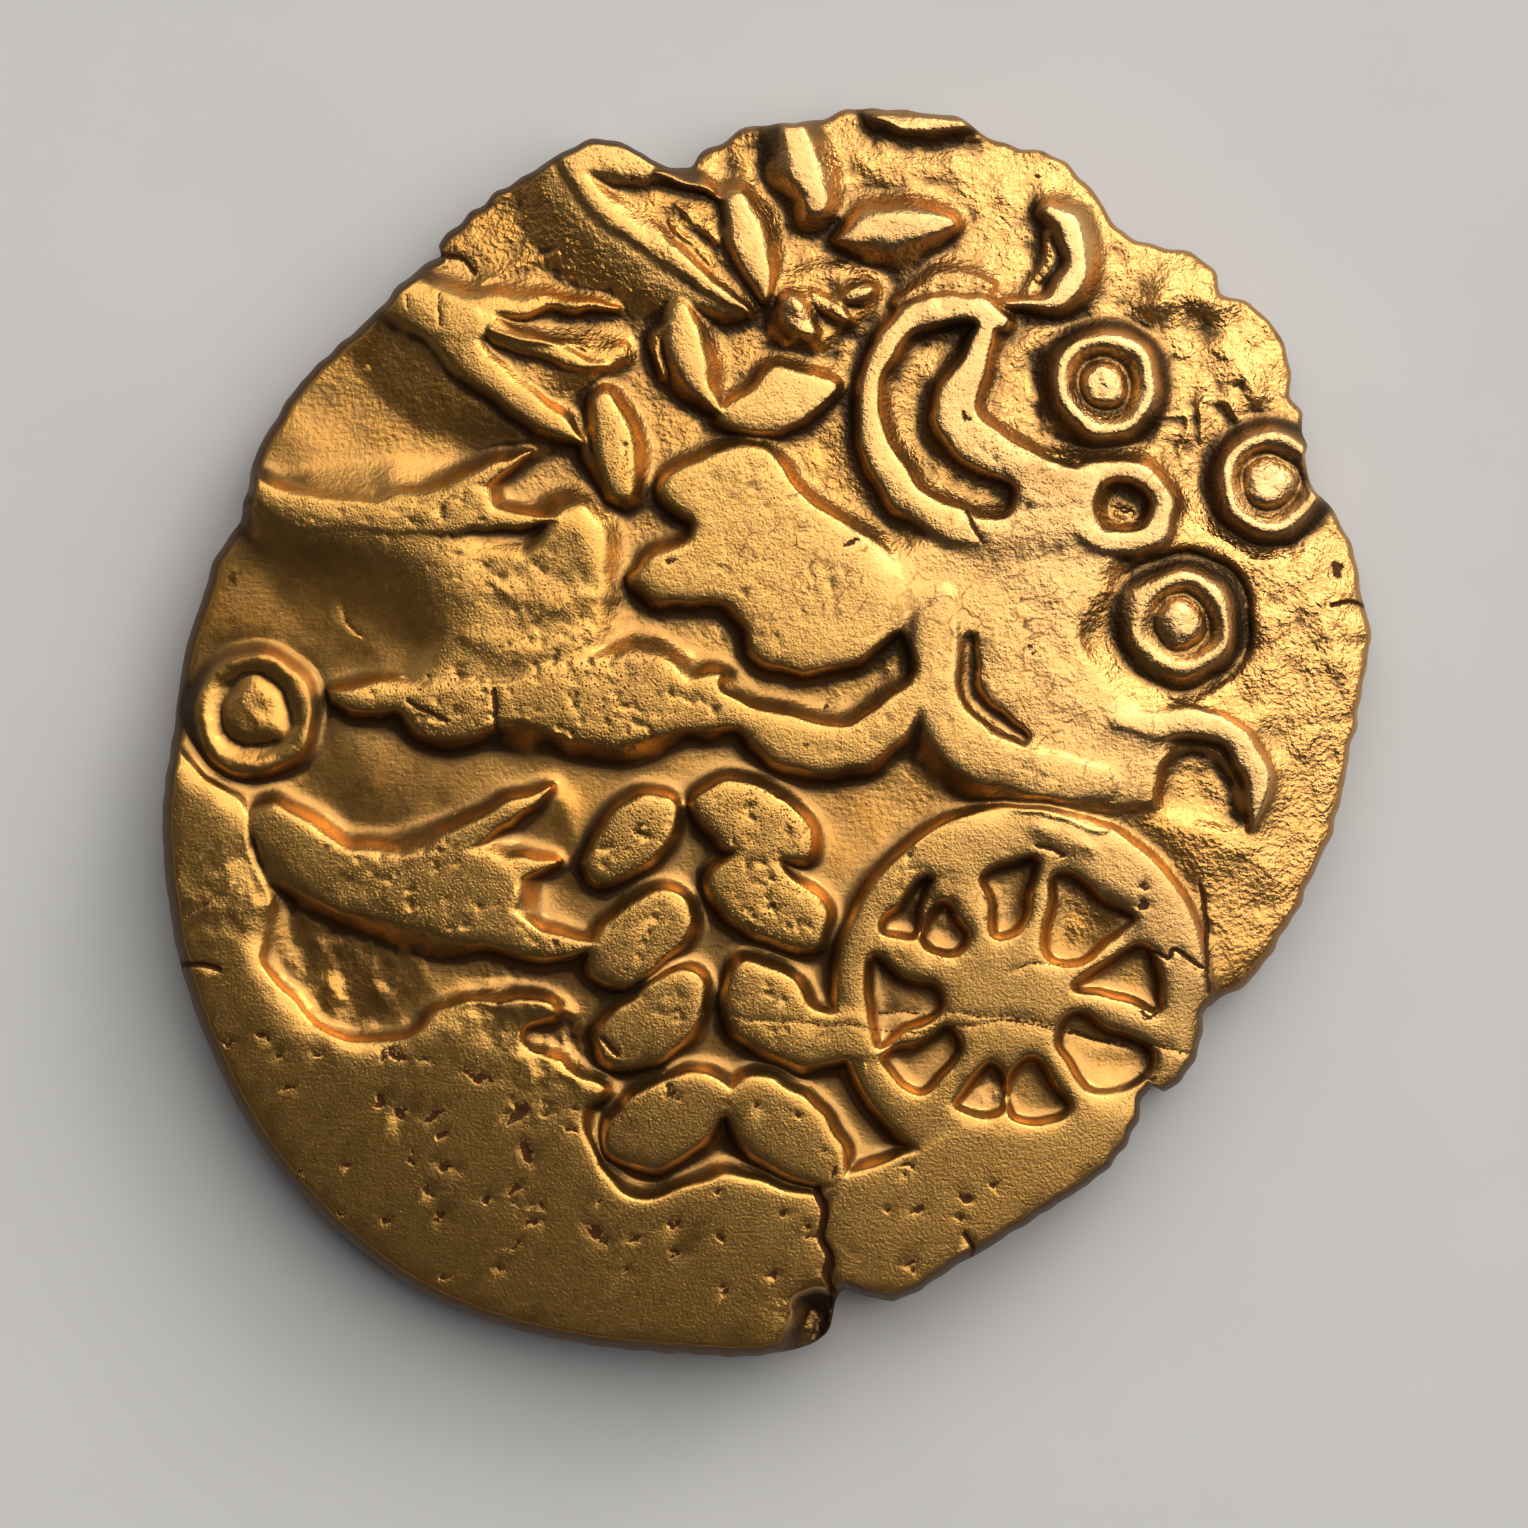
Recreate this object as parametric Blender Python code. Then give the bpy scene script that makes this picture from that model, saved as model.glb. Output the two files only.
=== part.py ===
"""A struck gold coin, dished and thick, lying on its hollow side with the domed face up.

Metres, +Z up. The origin is under the middle of the coin, on the surface that it lies on.
The face carries leaves, locks of hair, rings with pellets, crescents and a spoked wheel.
Their places are given in pixels of the photograph, 1528 wide and high, from its top left corner,
and are scaled to the real length and width below.
"""

import math

import bmesh
import bpy
import numpy as np

MM = 0.001

# Sizes of the flan
COIN_LENGTH = 18.4 * MM
COIN_WIDTH = 17.8 * MM
FACE_EDGE_HEIGHT = 1.25 * MM
DOME_RISE = 0.90 * MM
DISH_DEPTH = 0.45 * MM
REST_RIM_WIDTH = 0.9 * MM
FACE_ROUNDING = 0.32 * MM
BACK_ROUNDING = 0.35 * MM
EDGE_BAND_LOW = 0.40
EDGE_BAND_HIGH = 0.60

# Sizes of the carving
RELIEF_HEIGHT = 0.42 * MM
SHOULDER_WIDTH = 0.20 * MM
RING_FLOOR_SHARE = 0.38
RING_WALL = 0.20 * MM
RING_CREST = 0.06 * MM
MOAT_DEPTH_SHARE = 0.12
MOAT_OFFSET_SHARE = 0.3
MOAT_WIDTH_SHARE = 0.6
PELLET_FLATNESS = 5
WHEEL_TILT = 0.08
TILT_TOWARDS = (0.6, 0.8)
ROUND_TOP_SHARE = 0.55
HOLLOW_SHOULDER_SHARE = 0.9
POCKET_SHOULDER_SHARE = 0.7
BACK_RELIEF_HEIGHT = 0.16 * MM
BACK_SHOULDER_WIDTH = 0.22 * MM
BACK_CREST_SHARE = 0.30
BACK_CARVING_SHARE = 0.6

# Mesh
GRID_STEPS = 190
EDGE_CROWDING = 1.25
CURVE_STEPS = 5
KEPT_SHARE = 0.066
OUTLINE_PLACES = 72
OUTLINE_WAVES = 5
NOTCH_FADE = 6
TINY = 1e-9

# The outline of the flan, with its chips and notches, anticlockwise from the right
FLAN_OUTLINE = [
    (1353, 733), (1362, 690), (1369, 634), (1364, 604), (1352, 552), (1332, 508), (1313, 490),
    (1303, 458), (1307, 444), (1300, 418), (1290, 392), (1289, 360), (1270, 322), (1248, 303),
    (1222, 292), (1213, 272), (1190, 252), (1152, 244), (1117, 229), (1092, 188), (1054, 156),
    (996, 141), (966, 121), (930, 113), (864, 108), (836, 113), (806, 122), (745, 127), (722, 144),
    (700, 152), (690, 166), (656, 163), (640, 152), (606, 138), (570, 148), (535, 170), (500, 190),
    (462, 221), (439, 244), (441, 256), (420, 266), (385, 303), (325, 358), (296, 388), (274, 422),
    (255, 458), (246, 500), (240, 520), (216, 558), (202, 600), (186, 650), (174, 733), (164, 800),
    (164, 850), (172, 920), (184, 975), (212, 1052), (262, 1145), (343, 1236), (438, 1301),
    (546, 1337), (656, 1352), (776, 1354), (826, 1334), (841, 1292), (893, 1301), (960, 1264),
    (1042, 1214), (1110, 1166), (1134, 1128), (1150, 1086), (1166, 1092), (1196, 1056),
    (1207, 1008), (1246, 984), (1290, 922), (1310, 880), (1333, 828),
]

# Raised areas with a flat top: height as a share of the relief, shoulder as a share of the
# usual one, then the outline of the top
PLATEAUS = {
    "worn_field": (0.92, 0.8, [
        (60, 735), (176, 748), (206, 777), (238, 796), (250, 820), (250, 850), (262, 880),
        (272, 908), (264, 945), (266, 968), (288, 992), (304, 1010), (320, 1027), (346, 1039),
        (408, 1038), (442, 1011), (482, 1003), (548, 1003), (558, 1010), (524, 1026), (524, 1042),
        (552, 1058), (582, 1076), (607, 1086), (588, 1104), (586, 1130), (600, 1158), (642, 1190),
        (682, 1180), (724, 1167), (762, 1174), (815, 1191), (852, 1172), (914, 1150), (1022, 1100),
        (1190, 1080), (1420, 1080), (1420, 1420), (60, 1420),
    ]),
    "right_field": (0.42, 4.5, [
        (1120, 560), (1180, 545), (1240, 560), (1316, 590), (1345, 660), (1336, 760), (1300, 860),
        (1262, 940), (1216, 970), (1206, 900), (1170, 830), (1110, 800), (1100, 740), (1110, 650),
    ]),
    "high_lock_floor": (0.42, 2.2, [
        (576, 172), (606, 158), (650, 172), (700, 200), (722, 226), (734, 290), (742, 308),
        (700, 276), (640, 226), (600, 206),
    ]),
    "right_mass": (0.76, 2.4, [
        (900, 600), (908, 562), (942, 546), (1000, 525), (1060, 520), (1088, 534), (1110, 555),
        (1103, 580), (1084, 606), (1069, 630), (1080, 662), (1102, 690), (1128, 712), (1158, 748),
        (1156, 775), (1140, 800), (1095, 797), (1050, 795), (1005, 786), (966, 773), (944, 758),
        (928, 736), (916, 706), (911, 680), (903, 645),
    ]),
    "central_mass": (1.0, 0.9, [
        (664, 492), (672, 479), (700, 465), (742, 451), (768, 455), (784, 474), (800, 500),
        (832, 519), (864, 538), (890, 566), (902, 600), (899, 628), (884, 646), (864, 661),
        (836, 670), (800, 671), (768, 666), (754, 652), (744, 626), (722, 605), (690, 604),
        (652, 602), (633, 586), (646, 567), (668, 552), (694, 543), (698, 528), (682, 516),
        (669, 505),
    ]),
    "granular_mass": (0.78, 2.4, [
        (428, 690), (446, 650), (454, 615), (456, 580), (468, 556), (508, 560), (552, 546),
        (562, 520), (584, 512), (600, 534), (604, 565), (600, 600), (590, 650), (560, 722),
        (490, 722),
    ]),
    "knot": (0.34, 1.2, [
        (774, 300), (790, 280), (830, 276), (868, 286), (872, 300), (846, 326), (815, 342),
        (782, 341),
    ]),
    "flat_leaf_high": (0.86, 0.9, [
        (719, 425), (729, 407), (752, 391), (777, 371), (804, 378), (838, 388), (822, 406),
        (794, 425), (764, 434), (733, 432),
    ]),
    "leaf_1": (0.94, 0.9, [
        (590, 866), (604, 832), (622, 808), (646, 796), (671, 799), (674, 822), (664, 848),
        (640, 866), (612, 880), (598, 880),
    ]),
    "leaf_2": (0.94, 0.9, [
        (692, 804), (716, 783), (748, 785), (785, 804), (808, 830), (811, 852), (790, 858),
        (764, 856), (738, 850), (716, 834),
    ]),
    "leaf_3": (0.94, 0.9, [
        (736, 856), (716, 870), (712, 890), (727, 912), (766, 936), (812, 948), (822, 924),
        (820, 902), (786, 876), (768, 854),
    ]),
    "leaf_4": (0.94, 0.9, [
        (656, 893), (680, 896), (692, 916), (688, 936), (668, 952), (642, 974), (618, 983),
        (597, 974), (594, 954), (606, 928), (628, 908),
    ]),
    "leaf_5": (0.94, 0.9, [
        (684, 970), (700, 978), (702, 1004), (694, 1028), (666, 1052), (622, 1062), (600, 1050),
        (602, 1026), (630, 1000), (656, 980),
    ]),
    "leaf_6": (0.94, 0.9, [
        (740, 963), (768, 968), (796, 984), (812, 1006), (836, 1014), (880, 1020), (880, 1050),
        (838, 1057), (815, 1065), (786, 1058), (746, 1036), (728, 1012), (727, 986),
    ]),
    "leaf_7": (0.94, 0.9, [
        (607, 1142), (616, 1114), (642, 1090), (674, 1074), (708, 1072), (726, 1086),
        (720, 1120), (704, 1142), (678, 1158), (646, 1166), (618, 1156),
    ]),
    "leaf_8": (0.94, 0.9, [
        (726, 1096), (748, 1076), (790, 1085), (820, 1108), (839, 1140), (840, 1176), (806, 1180),
        (774, 1171), (746, 1150), (727, 1122),
    ]),
}

# Ridges, leaves and bands: height share, crest share, then x, y and half width along the spine.
# The crest share is how much of the half width stays at full height.
STROKES = {
    "lower_band": (0.96, 0.62, [
        (318, 692, 4), (372, 700, 22), (404, 698, 22), (446, 713, 38), (482, 710, 37),
        (512, 702, 31), (556, 700, 46), (610, 702, 64), (645, 697, 60), (680, 702, 40),
        (712, 704, 38), (745, 715, 26), (788, 740, 35), (830, 747, 36), (866, 738, 35),
        (893, 716, 30), (907, 694, 14),
    ]),
    "high_lock_apron": (0.80, 0.02, [
        (556, 172, 46), (580, 206, 62), (624, 250, 60), (680, 288, 44), (738, 318, 12),
    ]),
    "high_lock_head": (1.0, 0.35, [(576, 158, 26), (606, 160, 34), (640, 172, 24)]),
    "high_lock_outer": (1.0, 0.22, [
        (566, 158, 16), (580, 182, 25), (602, 208, 28), (634, 232, 29), (668, 258, 25),
        (702, 282, 20), (748, 316, 7),
    ]),
    "high_lock_inner": (0.95, 0.45, [
        (570, 164, 14), (600, 158, 22), (628, 163, 20), (652, 174, 14), (690, 186, 10),
        (720, 204, 3),
    ]),
    "second_lock_apron": (0.62, 0.05, [
        (396, 300, 54), (440, 336, 66), (500, 362, 62), (560, 374, 50), (620, 356, 16),
    ]),
    "second_lock_skirt": (0.42, 0.02, [
        (392, 322, 56), (430, 362, 60), (486, 404, 50), (540, 434, 28),
    ]),
    "second_lock_root": (1.0, 0.45, [(376, 280, 34), (410, 302, 40), (436, 314, 40), (470, 324, 32)]),
    "second_lock_high": (0.85, 0.30, [(470, 308, 22), (540, 306, 16), (620, 311, 4)]),
    "second_lock_middle": (0.95, 0.35, [
        (478, 320, 20), (516, 340, 21), (560, 360, 16), (608, 372, 4),
    ]),
    "second_lock_low": (0.97, 0.36, [
        (440, 324, 32), (466, 354, 32), (502, 387, 31), (546, 418, 24), (584, 444, 6),
    ]),
    "third_lock_root": (0.95, 0.55, [
        (236, 484, 20), (268, 496, 22), (302, 510, 26), (346, 517, 23), (400, 516, 27),
        (442, 513, 36), (476, 507, 34),
    ]),
    "third_lock_apron": (0.84, 0.05, [
        (262, 508, 30), (330, 528, 60), (400, 540, 82), (450, 566, 96), (486, 620, 100),
    ]),
    "third_lock_high": (0.95, 0.35, [(462, 492, 22), (500, 471, 14), (534, 453, 3)]),
    "third_lock_low": (0.90, 0.40, [
        (470, 516, 26), (512, 522, 19), (550, 521, 5), (562, 520, 3),
    ]),
    "fourth_lock_root": (0.97, 0.56, [
        (276, 824, 30), (298, 850, 45), (338, 875, 46), (397, 887, 56), (447, 890, 68),
        (482, 892, 62),
    ]),
    "fourth_lock_high": (0.97, 0.40, [(446, 850, 28), (492, 823, 19), (528, 802, 13), (558, 784, 2)]),
    "fourth_lock_middle": (0.92, 0.40, [(478, 874, 30), (518, 867, 22), (560, 861, 4)]),
    "fourth_lock_low": (0.97, 0.60, [
        (476, 920, 34), (512, 932, 28), (546, 941, 24), (576, 945, 14), (604, 944, 3),
    ]),
    "leaf_a": (1.0, 0.22, [(790, 128, 30), (801, 166, 39), (816, 208, 27)]),
    "leaf_b": (1.0, 0.38, [(737, 206, 22), (746, 238, 33), (757, 274, 24), (765, 300, 8)]),
    "leaf_c": (1.0, 0.24, [(842, 240, 12), (868, 235, 34), (905, 231, 37), (948, 224, 16)]),
    "leaf_d": (1.0, 0.34, [(680, 318, 24), (689, 350, 34), (701, 388, 25), (718, 414, 8)]),
    "leaf_d_side": (0.55, 0.30, [(670, 322, 8), (658, 350, 11), (668, 384, 6)]),
    "leaf_e": (1.0, 0.42, [(604, 408, 22), (617, 446, 33), (625, 492, 24)]),
    "leaf_e_side": (0.60, 0.40, [(600, 420, 12), (593, 450, 14), (604, 480, 8)]),
    "rim_bead": (0.80, 0.25, [(872, 121, 10), (920, 126, 15), (976, 124, 8)]),
    "brow": (0.55, 0.40, [(900, 306, 6), (922, 290, 15), (950, 282, 14), (990, 290, 8)]),
    "small_crescent": (0.95, 0.26, [
        (1042, 212, 12), (1066, 226, 22), (1076, 256, 27), (1068, 288, 26), (1046, 306, 17),
        (1002, 304, 6),
    ]),
    "small_crescent_inner": (0.40, 0.40, [(1050, 236, 6), (1046, 262, 10), (1026, 292, 6)]),
    "large_crescent_outer": (1.0, 0.60, [
        (1004, 325, 10), (980, 313, 19), (950, 310, 20), (922, 318, 20), (896, 337, 20),
        (878, 363, 19), (870, 395, 19), (872, 432, 22), (882, 466, 24), (904, 496, 25),
        (936, 519, 26), (976, 530, 26),
    ]),
    "large_crescent_inner": (1.0, 0.68, [
        (986, 322, 14), (977, 352, 19), (962, 384, 26), (953, 412, 31), (964, 440, 33),
        (998, 462, 30), (1040, 484, 30), (1084, 488, 22),
    ]),
    "cheek_band": (0.95, 0.72, [
        (936, 610, 28), (932, 660, 30), (940, 706, 32), (964, 744, 34), (1006, 764, 32),
        (1050, 776, 26), (1100, 782, 20),
    ]),
    "under_crescents": (0.98, 0.02, [
        (944, 526, 56), (1000, 532, 84), (1050, 520, 82), (1090, 512, 52),
    ]),
    "hook_stem": (0.95, 0.60, [(990, 500, 32), (1030, 498, 34), (1076, 498, 32)]),
    "hook": (0.95, 0.45, [
        (1070, 486, 26), (1104, 474, 20), (1136, 478, 20), (1156, 496, 20), (1156, 522, 21),
        (1140, 540, 20), (1112, 544, 18), (1084, 534, 16), (1060, 518, 14),
    ]),
    "hook_nub": (0.60, 0.30, [(1078, 462, 12), (1090, 459, 12)]),
    "lower_crescent": (0.92, 0.40, [
        (1116, 722, 14), (1150, 727, 22), (1196, 723, 24), (1228, 737, 25), (1250, 764, 25),
        (1254, 796, 19), (1246, 826, 4),
    ]),
    "lower_crescent_horn": (0.45, 0.40, [(1236, 730, 14), (1286, 708, 3)]),
    "knot_bead": (0.95, 0.25, [(790, 306, 20), (797, 322, 28), (806, 332, 18)]),
    "knot_crumb": (0.80, 0.20, [(816, 300, 14), (834, 312, 18), (846, 322, 10)]),
    "knot_point": (0.85, 0.20, [(846, 300, 10), (860, 296, 16), (872, 294, 8)]),
}

# Rings round a pellet: x, y, pellet radius, ring radius, outer radius, height share
RINGS = {
    "ring_right": (1102, 387, 25, 46, 65, 0.92),
    "ring_far_right": (1266, 484, 28, 45, 63, 0.90),
    "ring_lower_right": (1177, 624, 29, 46, 65, 0.92),
    "ring_left": (257, 714, 34, 54, 68, 0.66),
}

# Hollows cut below the raised areas: floor as a share of the relief, then the outline
HOLLOWS = {
    "pocket_under_mass": (0.10, [
        (724, 686), (746, 678), (768, 674), (800, 677), (838, 674), (866, 661), (884, 646),
        (898, 634), (907, 655), (909, 676), (886, 697), (862, 713), (832, 721), (800, 717),
        (770, 708), (746, 699),
    ]),
    "pocket_in_crescent": (0.10, [
        (974, 324), (942, 326), (906, 346), (884, 378), (882, 410), (892, 440), (912, 475),
        (942, 501), (974, 515), (1000, 516), (1014, 494), (1006, 484), (970, 474), (944, 454),
        (930, 428), (932, 404), (944, 376), (964, 350),
    ]),
    "groove_under_leaves": (0.10, [
        (602, 1156), (650, 1169), (682, 1160), (706, 1143), (717, 1126), (723, 1114), (731, 1128),
        (748, 1151), (776, 1172), (820, 1190), (790, 1185), (760, 1174), (724, 1168), (682, 1180),
        (644, 1191), (620, 1178),
    ]),
    "inside_lower_crescent": (0.12, [
        (1156, 802), (1154, 776), (1172, 756), (1198, 752), (1222, 770), (1234, 800), (1232, 826),
        (1198, 822),
    ]),
    "edge_chip": (-1.00, [
        (786, 1356), (790, 1332), (800, 1314), (797, 1300), (812, 1290), (828, 1294), (846, 1290),
        (848, 1310), (830, 1328), (822, 1346), (804, 1362),
    ]),
    "hook_eye": (-0.10, [
        (1101, 498), (1112, 489), (1128, 489), (1141, 497), (1146, 512), (1137, 527), (1120, 532),
        (1106, 527), (1096, 514),
    ]),
}

# Grooves: floor share, then x, y and half width along the spine
GROOVES = {
    "cheek_groove": (0.36, [
        (968, 642, 6), (965, 665, 8), (968, 690, 9), (982, 713, 9), (1002, 729, 8),
        (1022, 739, 4),
    ]),
}

# The wheel
WHEEL_CENTRE = (1021, 993)
WHEEL_RADIUS = 184
WHEEL_HEIGHT_SHARE = 0.93
WHEEL_FLOOR_SHARE = 0.12
WHEEL_POCKETS = {
    "north": [(981, 877), (1004, 866), (1033, 860), (1026, 896), (1013, 930), (993, 932), (988, 902)],
    "north_east": [(1058, 873), (1082, 882), (1106, 905), (1132, 919), (1104, 940), (1080, 962),
                   (1052, 960), (1044, 936), (1052, 900)],
    "east": [(1144, 945), (1153, 966), (1157, 1010), (1118, 994), (1071, 985), (1098, 966)],
    "south_east": [(1070, 1013), (1108, 1028), (1144, 1046), (1146, 1074), (1112, 1090),
                   (1086, 1086), (1070, 1062), (1058, 1040)],
    "south": [(1022, 1060), (1036, 1058), (1048, 1078), (1065, 1108), (1038, 1118), (1009, 1112),
              (1008, 1082)],
    "south_small": [(985, 1063), (1003, 1076), (1001, 1104), (956, 1106), (968, 1084)],
    "south_west": [(882, 1055), (912, 1044), (944, 1028), (958, 1043), (940, 1070), (918, 1090),
                   (897, 1074)],
    "west": [(870, 956), (888, 968), (908, 980), (932, 984), (938, 1006), (906, 1026), (875, 1043),
             (872, 1000)],
    "north_west_outer": [(883, 930), (898, 904), (930, 876), (920, 908), (916, 935)],
    "north_west_inner": [(945, 899), (956, 918), (966, 933), (950, 952), (922, 938), (931, 916)],
}

# The far side, seen from below: a horse of loose bands and pellets over a small wheel
BACK_STROKES = {
    "body": [(520, 640, 30), (640, 600, 62), (780, 630, 46), (900, 590, 64), (980, 600, 34)],
    "neck": [(930, 570, 44), (1000, 470, 34), (1040, 400, 24)],
    "head": [(1030, 390, 28), (1100, 430, 24), (1150, 480, 14)],
    "fore_leg_near": [(930, 650, 30), (980, 760, 18), (960, 880, 14)],
    "fore_leg_far": [(980, 630, 26), (1080, 720, 17), (1100, 840, 13)],
    "hind_leg_near": [(600, 650, 32), (540, 770, 20), (580, 890, 14)],
    "hind_leg_far": [(560, 640, 28), (450, 740, 18), (440, 860, 13)],
    "tail": [(510, 610, 18), (430, 560, 14), (400, 470, 12), (440, 400, 8)],
    "mane": [(880, 500, 8), (930, 430, 16), (990, 360, 8)],
}
BACK_PELLETS = [
    (620, 420, 30), (720, 390, 30), (820, 400, 30), (960, 880, 24), (1100, 840, 22),
    (580, 890, 24), (440, 860, 22), (700, 1060, 26), (900, 1050, 26), (360, 640, 24),
]
BACK_WHEEL_CENTRE = (790, 860)
BACK_WHEEL_RADIUS = 92
BACK_WHEEL_RIM = 18
BACK_WHEEL_HUB = 26
BACK_WHEEL_SPOKE = (20, 10)
BACK_WHEEL_SPOKES = 8

BODY_COLOUR = (0.80, 0.58, 0.25, 1.0)
BODY_ROUGHNESS = 0.38


def smooth_step(value):
    """0 below 0, 1 above 1, and an even slope between."""
    value = np.clip(value, 0.0, 1.0)
    return value * value * (3.0 - 2.0 * value)


def rounded(value):
    """0 below 0, 1 above 1, and between them a slope that rounds over more at the top."""
    value = np.clip(value, 0.0, 1.0)
    round_top = np.sin(value * math.pi / 2)
    return smooth_step(value) + ROUND_TOP_SHARE * (round_top - smooth_step(value))


def closed_curve(points, steps=CURVE_STEPS):
    """A smooth closed curve through the points (centripetal Catmull-Rom)."""
    points = np.asarray(points, float)
    before, after, beyond = (np.roll(points, shift, axis=0) for shift in (1, -1, -2))
    return spline_through(before, points, after, beyond, steps).reshape(-1, points.shape[1])


def open_curve(points, steps=CURVE_STEPS):
    """A smooth open curve through the points, both ends kept."""
    points = np.asarray(points, float)
    padded = np.vstack([2 * points[0] - points[1], points, 2 * points[-1] - points[-2]])
    curve = spline_through(padded[:-3], padded[1:-2], padded[2:-1], padded[3:], steps)
    return np.vstack([curve.reshape(-1, points.shape[1]), points[-1:]])


def spline_through(p0, p1, p2, p3, steps):
    """Points between each p1 and p2, as an array of spans by steps by coordinates."""
    def knot_gap(a, b):
        return np.sqrt(np.hypot(*(b - a)[:, :2].T)).clip(1e-6)[:, None, None]

    t1 = knot_gap(p0, p1)
    t2 = t1 + knot_gap(p1, p2)
    t3 = t2 + knot_gap(p2, p3)
    t = t1 + (t2 - t1) * (np.arange(steps) / steps)[None, :, None]
    p0, p1, p2, p3 = (p[:, None, :] for p in (p0, p1, p2, p3))
    a1 = (t1 - t) / t1 * p0 + t / t1 * p1
    a2 = (t2 - t) / (t2 - t1) * p1 + (t - t1) / (t2 - t1) * p2
    a3 = (t3 - t) / (t3 - t2) * p2 + (t - t2) / (t3 - t2) * p3
    b1 = (t2 - t) / t2 * a1 + t / t2 * a2
    b2 = (t3 - t) / (t3 - t1) * a2 + (t - t1) / (t3 - t1) * a3
    return (t2 - t) / (t2 - t1) * b1 + (t - t1) / (t2 - t1) * b2


def distance_inside(x, y, outline):
    """How far each place lies inside a closed outline, negative outside."""
    nearest = np.full(x.shape, np.inf)
    inside = np.zeros(x.shape, bool)
    for (ax, ay), (bx, by) in zip(outline, np.roll(outline, -1, axis=0)):
        dx, dy = bx - ax, by - ay
        along = np.clip(((x - ax) * dx + (y - ay) * dy) / max(dx * dx + dy * dy, TINY), 0, 1)
        nearest = np.minimum(nearest, (x - ax - along * dx) ** 2 + (y - ay - along * dy) ** 2)
        if ay != by:
            inside ^= ((ay > y) != (by > y)) & (x < ax + (y - ay) * dx / dy)
    return np.where(inside, 1.0, -1.0) * np.sqrt(nearest)


def share_across(x, y, spine):
    """The share of the half width at each place: 0 on the spine and 1 at the side."""
    share = np.full(x.shape, np.inf)
    for (ax, ay, aw), (bx, by, bw) in zip(spine[:-1], spine[1:]):
        dx, dy = bx - ax, by - ay
        along = np.clip(((x - ax) * dx + (y - ay) * dy) / max(dx * dx + dy * dy, TINY), 0, 1)
        away = np.hypot(x - ax - along * dx, y - ay - along * dy)
        share = np.minimum(share, away / np.maximum(aw + along * (bw - aw), TINY))
    return share


class Relief:
    """Carving over a set of places in pixels, as a share of the full relief."""

    def __init__(self, x, y, shoulder):
        self.x, self.y = x, y
        self.shoulder = shoulder
        self.height = np.zeros(x.shape)

    def near(self, curve, margin):
        """The places within margin of the curve's box, and where they are."""
        low, high = curve[:, :2].min(axis=0) - margin, curve[:, :2].max(axis=0) + margin
        here = (self.x > low[0]) & (self.x < high[0]) & (self.y > low[1]) & (self.y < high[1])
        return here, self.x[here], self.y[here]

    def lift(self, here, height):
        self.height[here] = np.maximum(self.height[here], height)

    def sink(self, here, floor, share):
        self.height[here] += (np.minimum(floor, self.height[here]) - self.height[here]) * share

    def raise_plateau(self, level, shoulder_share, points):
        """A flat top with a shoulder outside it."""
        outline = closed_curve(points)
        shoulder = shoulder_share * self.shoulder
        here, x, y = self.near(outline, shoulder)
        self.lift(here, level * smooth_step(1 + distance_inside(x, y, outline) / shoulder))

    def raise_stroke(self, level, crest, points):
        """A ridge or leaf that tapers along its spine, at full height over its crest."""
        spine = open_curve(points)
        here, x, y = self.near(spine, spine[:, 2].max())
        self.lift(here, level * rounded((1 - share_across(x, y, spine)) / (1 - crest)))

    def raise_disc(self, centre, radius, level, tilt=0.0):
        """A round flat top, which may be tilted so that its upper right is the higher."""
        right, down = self.x - centre[0], self.y - centre[1]
        beyond = np.hypot(right, down) - radius
        here = beyond < self.shoulder
        across = TILT_TOWARDS[0] * right[here] - TILT_TOWARDS[1] * down[here]
        top = level + tilt * across / radius
        self.lift(here, top * smooth_step(1 - beyond[here] / self.shoulder))

    def raise_ring(self, ring):
        """A pellet inside a ring, in a shallow moat."""
        centre_x, centre_y, pellet, ring_radius, outer, level = ring
        wall = RING_WALL / pixel_size()[1]
        half_crest = 0.5 * RING_CREST / pixel_size()[1]
        here = np.hypot(self.x - centre_x, self.y - centre_y) < outer + wall
        radius = np.hypot(self.x[here] - centre_x, self.y[here] - centre_y)
        crest_start, crest_end = ring_radius - half_crest, ring_radius + half_crest
        inner_slope = rounded(1 - (crest_start - radius) / (crest_start - pellet))
        inner_side = RING_FLOOR_SHARE + (1 - RING_FLOOR_SHARE) * inner_slope
        outer_side = rounded((outer - radius) / (outer - crest_end))
        ring_top = np.where(radius < ring_radius, inner_side, outer_side)
        dome = np.sqrt(np.clip(1 - (radius / pellet) ** PELLET_FLATNESS, 0, 1))
        moat_middle, moat_width = outer + MOAT_OFFSET_SHARE * wall, MOAT_WIDTH_SHARE * wall
        moat = smooth_step(1 - np.abs(radius - moat_middle) / moat_width)
        within = smooth_step((outer + wall - radius) / moat_width)
        carved = level * np.maximum(ring_top, dome) - MOAT_DEPTH_SHARE * moat
        self.height[here] += (carved - self.height[here]) * within

    def sink_hollow(self, floor, points, shoulder_share):
        outline = closed_curve(points)
        shoulder = shoulder_share * self.shoulder
        here, x, y = self.near(outline, shoulder)
        self.sink(here, floor, smooth_step(0.5 + distance_inside(x, y, outline) / shoulder))

    def sink_groove(self, floor, points):
        """A furrow, at its full depth over the inner half of its width."""
        spine = open_curve(points)
        here, x, y = self.near(spine, 2 * spine[:, 2].max())
        self.sink(here, floor, smooth_step(1.5 - share_across(x, y, spine)))


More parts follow.
